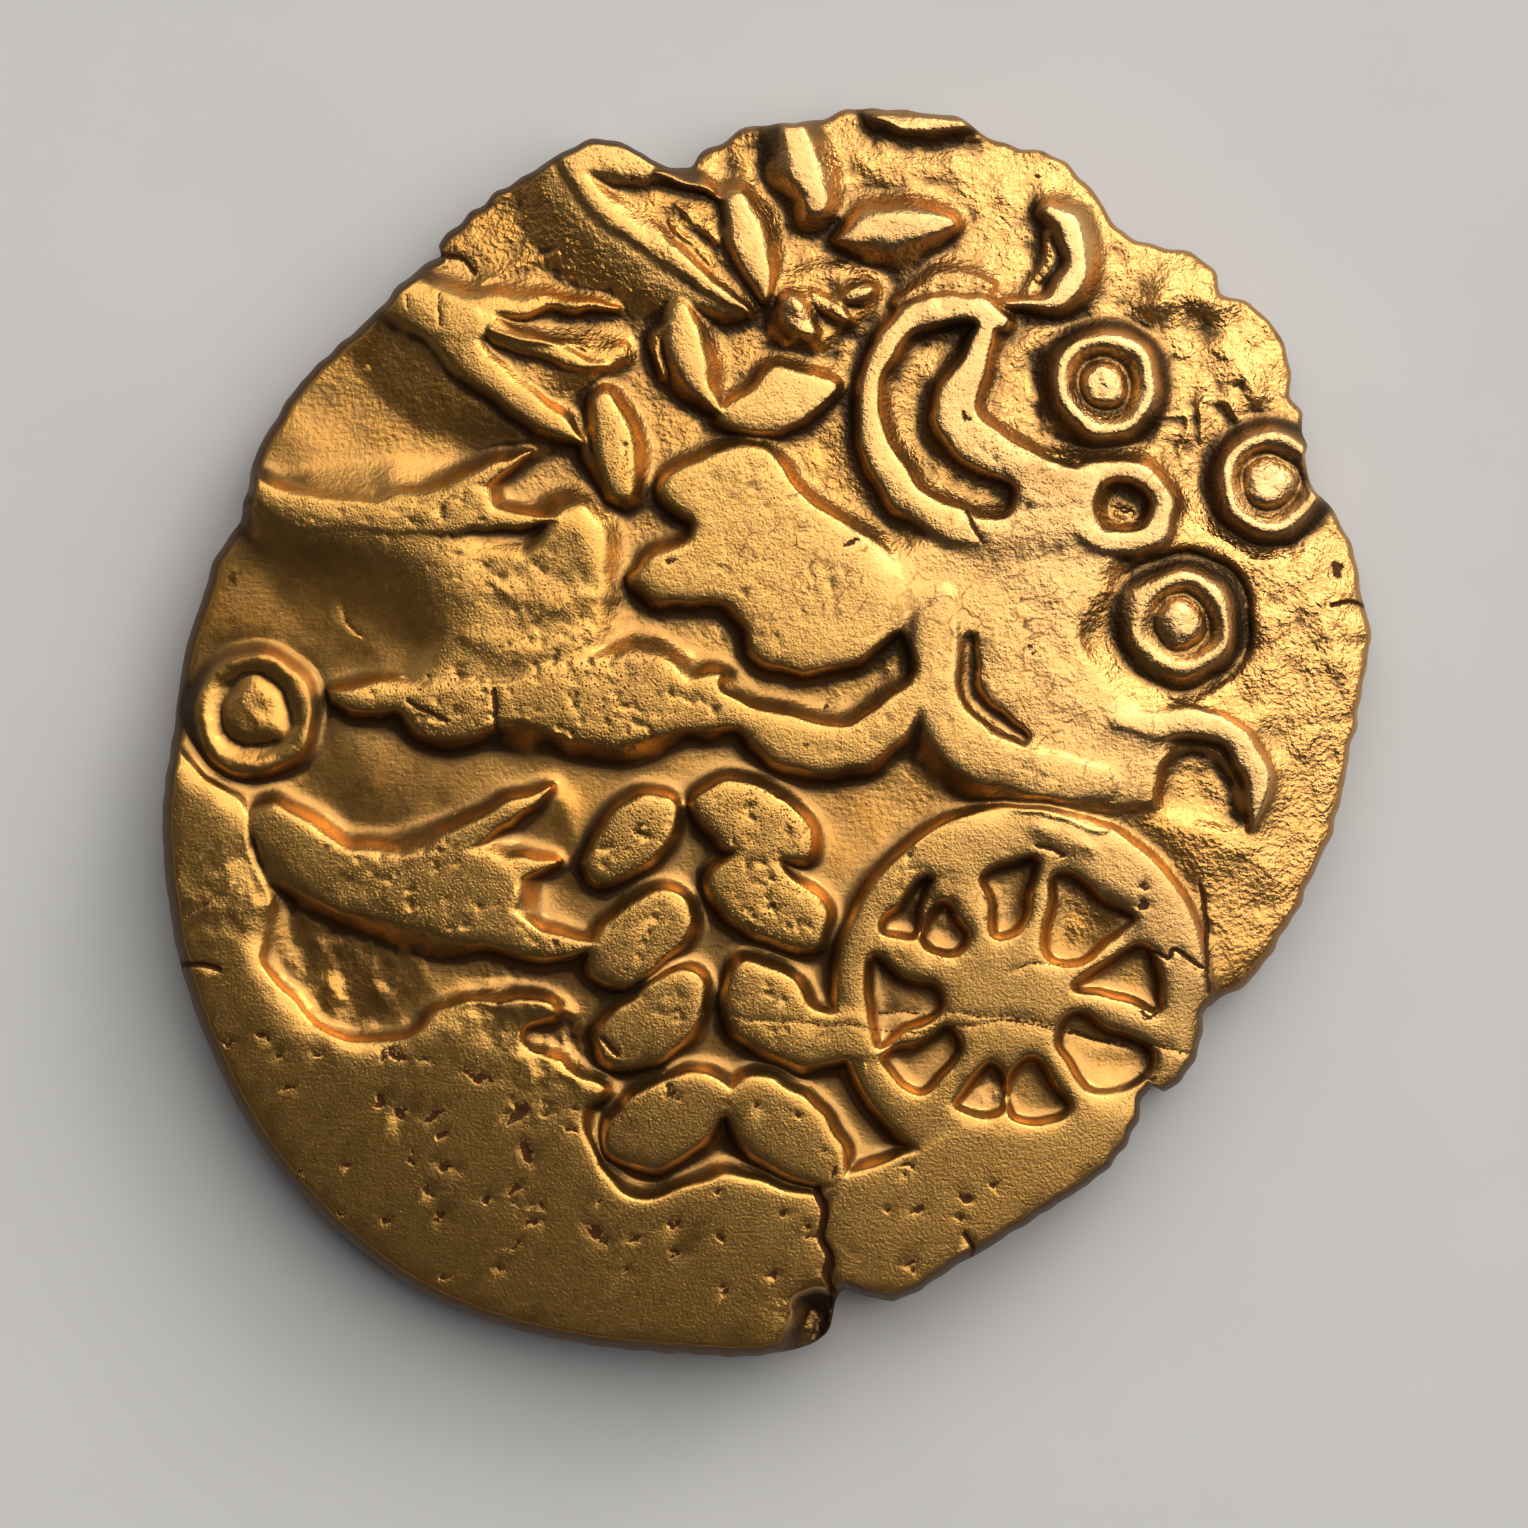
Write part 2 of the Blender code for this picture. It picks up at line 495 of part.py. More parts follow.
def face_relief(x, y):
    """The face's carving, as a share of its relief, at places in pixels."""
    relief = Relief(x, y, SHOULDER_WIDTH / pixel_size()[1])
    for level, shoulder_share, points in PLATEAUS.values():
        relief.raise_plateau(level, shoulder_share, points)
    relief.raise_disc(WHEEL_CENTRE, WHEEL_RADIUS, WHEEL_HEIGHT_SHARE, WHEEL_TILT)
    for level, crest, points in STROKES.values():
        relief.raise_stroke(level, crest, points)
    for ring in RINGS.values():
        relief.raise_ring(ring)
    for floor, points in HOLLOWS.values():
        relief.sink_hollow(floor, points, HOLLOW_SHOULDER_SHARE)
    for floor, points in GROOVES.values():
        relief.sink_groove(floor, points)
    for points in WHEEL_POCKETS.values():
        relief.sink_hollow(WHEEL_FLOOR_SHARE, points, POCKET_SHOULDER_SHARE)
    return relief.height


def back_relief(x, y):
    """The far side's carving, as a share of its relief, at places in pixels."""
    relief = Relief(x, y, BACK_SHOULDER_WIDTH / pixel_size()[1])
    for points in BACK_STROKES.values():
        relief.raise_stroke(1.0, BACK_CREST_SHARE, points)
    for centre_x, centre_y, radius in BACK_PELLETS:
        relief.raise_disc((centre_x, centre_y), radius, 1.0)
    centre_x, centre_y = BACK_WHEEL_CENTRE
    relief.raise_disc(BACK_WHEEL_CENTRE, BACK_WHEEL_HUB, 1.0)
    turn = 2 * math.pi / BACK_WHEEL_SPOKES
    rim = [(centre_x + BACK_WHEEL_RADIUS * math.cos(turn * step),
            centre_y + BACK_WHEEL_RADIUS * math.sin(turn * step))
           for step in range(BACK_WHEEL_SPOKES + 1)]
    relief.raise_stroke(1.0, BACK_CREST_SHARE, [(*place, BACK_WHEEL_RIM) for place in rim])
    inner, outer = BACK_WHEEL_SPOKE
    for place in rim[:-1]:
        spoke = [(centre_x, centre_y, inner), (*place, outer)]
        relief.raise_stroke(1.0, BACK_CREST_SHARE, spoke)
    return relief.height


def outline_box():
    outline = closed_curve(FLAN_OUTLINE)
    return outline.min(axis=0), outline.max(axis=0)


def pixel_size():
    """The real width and length of one pixel of the drawing."""
    low, high = outline_box()
    return COIN_WIDTH / (high[0] - low[0]), COIN_LENGTH / (high[1] - low[1])


def to_pixels(x, y):
    """Real places on the coin as pixels of the drawing, whose y runs down."""
    low, high = outline_box()
    middle = (low + high) / 2
    size_x, size_y = pixel_size()
    return middle[0] + x / size_x, middle[1] - y / size_y


def flan_radius(angle):
    """How far the flan reaches at each angle, and the same without its chips and notches."""
    low, high = outline_box()
    size_x, size_y = pixel_size()
    outline = closed_curve(FLAN_OUTLINE) - (low + high) / 2
    x, y = outline[:, 0] * size_x, -outline[:, 1] * size_y
    around = np.arctan2(y, x)
    order = np.argsort(around)
    reach = np.interp(angle, around[order], np.hypot(x, y)[order], period=2 * math.pi)
    even = np.linspace(-math.pi, math.pi, OUTLINE_PLACES, endpoint=False)
    known = np.interp(even, around[order], np.hypot(x, y)[order], period=2 * math.pi)
    waves = np.fft.rfft(known)
    waves[OUTLINE_WAVES:] = 0
    smooth = np.interp(angle, even, np.fft.irfft(waves, OUTLINE_PLACES), period=2 * math.pi)
    return reach, smooth


def disc_places(u, v):
    """A square's places, -1 to 1, as an angle and a share of the radius, ring by ring."""
    share = np.maximum(np.abs(u), np.abs(v))
    safe = np.maximum(share, TINY)
    wide = np.abs(u) >= np.abs(v)
    eighth = math.pi / 4
    along_x = eighth * v / safe * np.sign(u) + np.where(u < 0, math.pi, 0.0)
    along_y = 2 * eighth * np.sign(v) - eighth * u / safe * np.sign(v)
    return np.where(wide, along_x, along_y), 1 - (1 - share) ** EDGE_CROWDING


def face_height(x, y, reach, smooth):
    """Height of the domed face, with its carving and its rounded edge."""
    radius = np.hypot(x, y)
    field = FACE_EDGE_HEIGHT + DOME_RISE * (1 - np.clip(radius / smooth, 0, 1) ** 2)
    top = field + RELIEF_HEIGHT * face_relief(*to_pixels(x, y))
    inward = np.clip((reach - radius) / FACE_ROUNDING, 0, 1)
    middle = EDGE_BAND_HIGH * FACE_EDGE_HEIGHT
    return middle + (top - middle) * np.sqrt(1 - (1 - inward) ** 2)


def back_height(x, y, reach, smooth):
    """Height of the hollow side: a rounded edge, a flat rim to rest on and a dish."""
    radius = np.hypot(x, y)
    edge = np.clip((reach - radius) / BACK_ROUNDING, 0, 1)
    rounding = EDGE_BAND_LOW * FACE_EDGE_HEIGHT * (1 - np.sqrt(1 - (1 - edge) ** 2))
    dish_radius = smooth - BACK_ROUNDING - REST_RIM_WIDTH
    inward = np.clip(1 - radius / dish_radius, 0, 1)
    dish = DISH_DEPTH * (1 - (1 - inward) ** 2)
    carving = BACK_RELIEF_HEIGHT * back_relief(*to_pixels(x, y))
    carving = np.minimum(carving, BACK_CARVING_SHARE * dish)
    return rounding + dish - carving


def coin_mesh():
    """A square sheet, made a slab, drawn out to the flan and struck on both sides."""
    body = bmesh.new()
    bmesh.ops.create_grid(body, x_segments=GRID_STEPS, y_segments=GRID_STEPS, size=1.0)
    sheet = list(body.faces)
    raised = bmesh.ops.extrude_face_region(body, geom=sheet, use_keep_orig=True)["geom"]
    top = {item for item in raised if isinstance(item, bmesh.types.BMVert)}
    for face_up in (True, False):
        points = [point for point in body.verts if (point in top) == face_up]
        square = np.array([point.co[:2] for point in points])
        angle, share = disc_places(square[:, 0], square[:, 1])
        reach, smooth = flan_radius(angle)
        radius = share * (smooth + (reach - smooth) * share ** NOTCH_FADE)
        x, y = radius * np.cos(angle), radius * np.sin(angle)
        z = (face_height if face_up else back_height)(x, y, reach, smooth)
        for point, place in zip(points, np.column_stack([x, y, z])):
            point.co = place
    bmesh.ops.recalc_face_normals(body, faces=body.faces)
    mesh = bpy.data.meshes.new("coin")
    body.to_mesh(mesh)
    body.free()
    return mesh


def gold():
    material = bpy.data.materials.new("struck_gold")
    material.use_nodes = True
    shader = material.node_tree.nodes["Principled BSDF"]
    shader.inputs["Base Color"].default_value = BODY_COLOUR
    shader.inputs["Metallic"].default_value = 1.0
    shader.inputs["Roughness"].default_value = BODY_ROUGHNESS
    return material


def main():
    for existing in list(bpy.data.objects):
        bpy.data.objects.remove(existing, do_unlink=True)
    collection = bpy.data.collections.new("gold_coin")
    bpy.context.scene.collection.children.link(collection)
    mesh = coin_mesh()
    mesh.shade_smooth()
    mesh.materials.append(gold())
    coin = bpy.data.objects.new("coin", mesh)
    collection.objects.link(coin)
    thin = coin.modifiers.new("fewer_faces", "DECIMATE")
    thin.ratio = KEPT_SHARE
    thin.use_collapse_triangulate = True


main()
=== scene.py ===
"""A struck gold coin, dished and thick, lying on its hollow side with the domed face up.

Metres, +Z up. The carving is drawn on a fine sheet of heights, in pixels of the photograph, and the
sheet then shapes one closed mesh that takes the place of the plain coin.
"""

import math

import bpy
import numpy as np
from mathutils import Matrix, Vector


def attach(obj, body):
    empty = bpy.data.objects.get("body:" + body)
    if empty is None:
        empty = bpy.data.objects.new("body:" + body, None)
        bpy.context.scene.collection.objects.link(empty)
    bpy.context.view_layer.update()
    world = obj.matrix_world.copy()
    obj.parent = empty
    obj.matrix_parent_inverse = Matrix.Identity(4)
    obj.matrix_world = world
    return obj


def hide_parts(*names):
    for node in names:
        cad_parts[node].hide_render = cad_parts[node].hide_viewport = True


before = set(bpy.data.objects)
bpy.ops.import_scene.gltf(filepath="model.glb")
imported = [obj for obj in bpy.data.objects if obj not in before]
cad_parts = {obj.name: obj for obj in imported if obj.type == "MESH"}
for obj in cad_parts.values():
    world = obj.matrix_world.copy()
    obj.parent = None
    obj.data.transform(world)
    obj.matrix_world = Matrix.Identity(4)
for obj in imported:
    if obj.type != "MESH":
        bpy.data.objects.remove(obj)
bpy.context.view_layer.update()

MM = 0.001

# The way to the coin's upper right, as shares of right and up
UPPER_RIGHT = (0.6, 0.8)

# Sizes of the flan
COIN_LENGTH = 18.4 * MM
COIN_WIDTH = 17.8 * MM
FACE_EDGE_HEIGHT = 1.25 * MM
DOME_RISE = 0.90 * MM
DISH_DEPTH = 0.45 * MM
REST_RIM_WIDTH = 0.9 * MM
FACE_ROUNDING = 0.27 * MM
BACK_ROUNDING = 0.35 * MM
ROUNDING_TOWARDS = 40
ROUNDING_SHARES = (0.65, -0.25)
EDGE_CRINKLE = 0.018 * MM
CRINKLE_SHARES = (0.6, 0.4)
CRINKLE_STEPS = 1200
CRINKLE_WAVES = (30, 140)
EDGE_BAND_LOW = 0.40
EDGE_BAND_HIGH = 0.60
SEAM_MARGIN = 0.05 * MM
EDGE_UPRIGHT = 0.92
EDGE_SPAN = 0.30
EDGE_REACH = 2.0

# Sizes of the carving
RELIEF_HEIGHT = 0.42 * MM
SHOULDER_WIDTH = 0.17 * MM
ROUND_TOP_SHARE = 0.55
RING_FLOOR_SHARE = 0.38
RING_WALL = 0.20 * MM
RING_CREST = 0.06 * MM
RING_SWAY = 0.9
WHEEL_SWAY = 0.4
WHEEL_TILT = 0.05
MOAT_DEPTH_SHARE = 0.12
MOAT_OFFSET_SHARE = 0.3
MOAT_WIDTH_SHARE = 0.6
MOAT_SHADE_OFFSET = 3
MOAT_SHADE_SHARE = 1.1
FURROW_OFFSET = 2
FURROW_WIDTH = 7
FURROW_SHADE = 0.6
PELLET_FLATNESS = 5
HOLLOW_SHOULDER_SHARE = 0.9
POCKET_SHOULDER_SHARE = 0.7
BACK_RELIEF_HEIGHT = 0.16 * MM
BACK_SHOULDER_WIDTH = 0.22 * MM
BACK_CREST_SHARE = 0.30
BACK_CARVING_SHARE = 0.6

# The frame of the photograph, in pixels, and the part of it that the sheet of heights covers
PHOTO_SIZE = 1528
SHEET_LEFT, SHEET_TOP, SHEET_RIGHT, SHEET_BOTTOM = 140, 84, 1396, 1380

# Wear and roughness, in pixels
SOFTNESS = 1.7
BROAD_SOFTNESS = 8.0
BROAD_SHARE = 0.24
WORN_SOFTNESS = 15.0
FILLET_SOFTNESS = 5.0
FILLET_LOW = 0.10
FILLET_SPAN = 0.60
FILLET_OPEN_SHARE = 0.75
FACING_CONTRAST = 0.65
FACING_FLAT = 0.004
WARP = 1.6
WARP_SIZE = 9.0
RAGGED = 2.6
RAGGED_SIZE = 2.4

# Mesh
MESH_STEPS = 600
EDGE_CROWDING = 1.12
CURVE_STEPS = 5
MOST_TRIANGLES = 190000
OUTLINE_PLACES = 72
OUTLINE_WAVES = 5
NOTCH_FADE = 6
TINY = 1e-9
SEED = 41

# Where the tops of the carving begin, as a share of the relief, and over how much they come in
TOP_START = 0.45
TOP_SPAN = 0.4

# Swells of the struck surface, in pixels: their size, with their height as a share of the relief
BROAD_SWELLS = [(26, 0.035)]
FINE_SWELLS = [(3, 0.008), (6, 0.022)]
STRUCK_SWELLS = [(13, 0.035)]
BROKEN_SWELLS = [(3, 0.030), (8, 0.060)]
BACK_SWELLS = [(14, 0.10)]
BACK_WORN = 0.3
BACK_CRINKLE = 0.4
SWELL_LOST_ON_TOP = 0.85
CRINKLE_LEAST = 0.07
CRINKLE_LOST_ON_TOP = 0.7
BROKEN_CRINKLE = 0.4
SPECK_SIZE = 2.2
SPECK_DEPTH = 0.06
CREASE_SIZES = (9, 18)
CREASE_WIDTH = 0.09
CREASE_DEPTH = 0.03
CREASE_SHADE = 0.18

# Where the fields that colour the surface begin and how wide they are, in pixels
STRUCK_START = 250
STRUCK_SPAN = 600
# Painted light: the gold grows paler towards the upper right, where the light comes from
PAINTED_LIGHT_TOWARDS = (0.85, 0.5)
PAINTED_LIGHT_START = 50
PAINTED_LIGHT_SPAN = 600
NEAR_BLURS = (5, 1.2)
WIDE_BLURS = (16, 2)
BACK_BLURS = (14, 2)
# Painted shade: how it lies on walls and feet turned to the lower left, and round the rings
SHADE_SIDE_BLUR = 4
SHADE_SIDE_LEAST = 0.22
WALL_START = 0.3
WALL_SPAN = 1.2
FOOT_GAIN = 26
FOOT_LOST_WHERE_CRISP = 0.5
MOAT_SHADE = 0.9
MOAT_BLUR = 2
RECESS_GAINS = (2.4, 1.5)
BACK_RECESS_GAIN = 1.6
CREST_GAIN = 4.0

# Colours of the gold, from clean metal to its stains, dark marks and painted shade, and of the floor
DEEP_GOLD = (0.84, 0.40, 0.085, 1)
WARM_GOLD = (0.88, 0.46, 0.12, 1)
# Painted light: the field gold and the worn gold turn paler towards the upper right
PAINTED_LIGHT_GOLD = (0.95, 0.52, 0.17, 1)
WORN_GOLD = (0.84, 0.46, 0.12, 1)
PAINTED_LIGHT_WORN_GOLD = (0.96, 0.59, 0.25, 1)
RED_GOLD = (0.78, 0.36, 0.07, 1)
# Brown of the recesses: patina, and partly painted shade
BROWN_GOLD = (0.60, 0.34, 0.115, 1)
STAIN_BROWN = (0.44, 0.22, 0.075, 1)
# Painted shade: brown on walls, near black at the feet, and dark on the rim
WALL_PAINTED_SHADE = (0.15, 0.10, 0.05, 1)
FOOT_PAINTED_SHADE = (0.040, 0.022, 0.010, 1)
RIM_PAINTED_SHADE = (0.070, 0.036, 0.014, 1)
# Darker in pits, grains and cracks, with painted shade along the creases
MARK_DARK_AND_CREASE_SHADE = (0.11, 0.04, 0.012, 1)
FLOOR_DARK = (0.73, 0.73, 0.73, 1)
FLOOR_PALE = (0.76, 0.76, 0.75, 1)

# Sizes of the swells in the gold's colour and surface
CLOUD_SIZE = 1.1 * MM
PATCH_SIZE = 0.5 * MM
FINE_SIZE = 0.16 * MM
SPECKLE_SIZE = 0.05 * MM
GRAIN_SIZE = 0.058 * MM
WEB_SIZE = 0.36 * MM
WEB_SWAY_SIZE = 0.22 * MM
WEB_SWAY = 0.28 * MM
WEB_PATCH_SIZE = 0.45 * MM
CRINKLE_SIZE = 0.075 * MM
CRINKLE_BUMP = 0.032 * MM
SATIN_SIZE = 0.040 * MM
SATIN_BUMP = 0.0050 * MM
STREAK_SIZE = 0.05 * MM
STREAK_BUMP = 0.0015 * MM
STREAK_STRETCH = (0.08, 1, 1)
MARK_BUMP = 0.007 * MM

# Lamps: which way from the coin, width and height, distance, brightness and colour
LAMPS = {
    "key": ((0.3805, 0.487, 0.786), (0.68, 0.49), 0.34, 1.66, (1.0, 0.97, 0.93)),
    "low_key": ((0.54, 0.69, 0.48), (0.16, 0.16), 0.40, 4.0, (1.0, 0.96, 0.90)),
    "side_fill": ((-0.70, 0.50, 0.42), (0.30, 0.16), 0.40, 0.22, (0.92, 0.96, 1.0)),
}
SURROUNDINGS = (0.04, 0.04, 0.042, 1)
FLOOR_SIZE = 1.2
LENS = 250
SENSOR_WIDTH = 36

# The outline of the flan, with its chips and notches, anticlockwise from the right
FLAN_OUTLINE = [
    (1353, 733), (1362, 690), (1369, 634), (1364, 604), (1352, 552), (1332, 508), (1313, 490),
    (1303, 458), (1307, 444), (1300, 418), (1290, 392), (1289, 360), (1270, 322), (1248, 303),
    (1222, 292), (1213, 272), (1190, 252), (1152, 244), (1117, 229), (1092, 188), (1054, 156), (996, 141),
    (966, 121), (930, 113), (864, 108), (836, 113), (806, 122), (745, 127), (722, 144), (700, 152),
    (690, 166), (656, 163), (640, 152), (606, 138), (570, 148), (535, 170), (500, 190), (462, 221),
    (439, 244), (441, 256), (420, 266), (385, 303), (325, 358), (296, 388), (274, 422), (255, 458),
    (246, 500), (240, 520), (216, 558), (202, 600), (186, 650), (174, 733), (164, 800), (164, 850),
    (172, 920), (184, 975), (212, 1052), (262, 1145), (343, 1236), (438, 1301), (546, 1337), (656, 1352),
    (776, 1354), (826, 1334), (841, 1292), (893, 1301), (960, 1264), (1042, 1214), (1110, 1166),
    (1134, 1128), (1150, 1086), (1166, 1092), (1196, 1056), (1207, 1008), (1246, 984), (1290, 922),
    (1310, 880), (1333, 828),
]

# Raised areas with a flat top: height as a share of the relief, shoulder as a share of the
# usual one, then the outline of the top
PLATEAUS = {
    "worn_field": (0.92, 0.8, [
        (60, 735), (176, 748), (206, 777), (238, 796), (250, 820), (250, 850), (262, 880), (272, 908),
        (264, 945), (266, 968), (288, 992), (304, 1010), (320, 1027), (346, 1039), (408, 1038),
        (442, 1011), (482, 1003), (548, 1003), (558, 1010), (524, 1026), (524, 1042), (552, 1058),
        (582, 1076), (607, 1086), (588, 1104), (586, 1130), (600, 1158), (642, 1190), (682, 1180),
        (724, 1167), (762, 1174), (815, 1191), (852, 1172), (914, 1150), (1022, 1100), (1190, 1080),
        (1420, 1080), (1420, 1420), (60, 1420),
    ]),
    "right_field": (0.42, 4.5, [
        (1120, 560), (1180, 545), (1240, 560), (1316, 590), (1345, 660), (1336, 760), (1300, 860),
        (1262, 940), (1216, 970), (1206, 900), (1170, 830), (1110, 800), (1100, 740), (1110, 650),
    ]),
    "high_lock_floor": (0.42, 2.2, [
        (576, 172), (606, 158), (650, 172), (700, 200), (722, 226), (734, 290), (742, 308), (700, 276),
        (640, 226), (600, 206),
    ]),
    "right_mass": (0.76, 2.4, [
        (900, 600), (908, 562), (942, 546), (1000, 525), (1060, 520), (1088, 534), (1110, 555),
        (1103, 580), (1084, 606), (1069, 630), (1080, 662), (1102, 690), (1128, 712), (1158, 748),
        (1156, 775), (1140, 800), (1095, 797), (1050, 795), (1005, 786), (966, 773), (944, 758),
        (928, 736), (916, 706), (911, 680), (903, 645),
    ]),
    "central_mass": (1.0, 0.9, [
        (664, 492), (672, 479), (700, 465), (742, 451), (768, 455), (784, 474), (800, 500), (832, 519),
        (864, 538), (890, 566), (902, 600), (899, 628), (884, 646), (864, 661), (836, 670), (800, 671),
        (768, 666), (754, 652), (744, 626), (722, 605), (690, 604), (652, 602), (633, 586), (646, 567),
        (668, 552), (694, 543), (698, 528), (682, 516), (669, 505),
    ]),
    "granular_mass": (0.78, 2.4, [
        (428, 690), (446, 650), (454, 615), (456, 580), (468, 556), (508, 560), (552, 546), (562, 520),
        (584, 512), (600, 534), (604, 565), (600, 600), (590, 650), (560, 722), (490, 722),
    ]),
    "knot": (0.34, 1.2, [
        (774, 300), (790, 280), (830, 276), (868, 286), (872, 300), (846, 326), (815, 342), (782, 341),
    ]),
    "flat_leaf_high": (0.86, 0.9, [
        (719, 425), (729, 407), (752, 391), (777, 371), (804, 378), (838, 388), (822, 406), (794, 425),
        (764, 434), (733, 432),
    ]),
    "leaf_1": (0.94, 0.9, [
        (590, 866), (604, 832), (622, 808), (646, 796), (671, 799), (674, 822), (664, 848), (640, 866),
        (612, 880), (598, 880),
    ]),
    "leaf_2": (0.94, 0.9, [
        (692, 804), (716, 783), (748, 785), (785, 804), (808, 830), (811, 852), (790, 858), (764, 856),
        (738, 850), (716, 834),
    ]),
    "leaf_3": (0.94, 0.9, [
        (736, 856), (716, 870), (712, 890), (727, 912), (766, 936), (812, 948), (822, 924), (820, 902),
        (786, 876), (768, 854),
    ]),
    "leaf_4": (0.94, 0.9, [
        (656, 893), (680, 896), (692, 916), (688, 936), (668, 952), (642, 974), (618, 983), (597, 974),
        (594, 954), (606, 928), (628, 908),
    ]),
    "leaf_5": (0.94, 0.9, [
        (684, 970), (700, 978), (702, 1004), (694, 1028), (666, 1052), (622, 1062), (600, 1050),
        (602, 1026), (630, 1000), (656, 980),
    ]),
    "leaf_6": (0.94, 0.9, [
        (740, 963), (768, 968), (796, 984), (812, 1006), (836, 1014), (880, 1020), (880, 1050),
        (838, 1057), (815, 1065), (786, 1058), (746, 1036), (728, 1012), (727, 986),
    ]),
    "leaf_7": (0.94, 0.9, [
        (607, 1142), (616, 1114), (642, 1090), (674, 1074), (708, 1072), (726, 1086), (720, 1120),
        (704, 1142), (678, 1158), (646, 1166), (618, 1156),
    ]),
    "leaf_8": (0.94, 0.9, [
        (726, 1096), (748, 1076), (790, 1085), (820, 1108), (839, 1140), (840, 1176), (806, 1180),
        (774, 1171), (746, 1150), (727, 1122),
    ]),
}

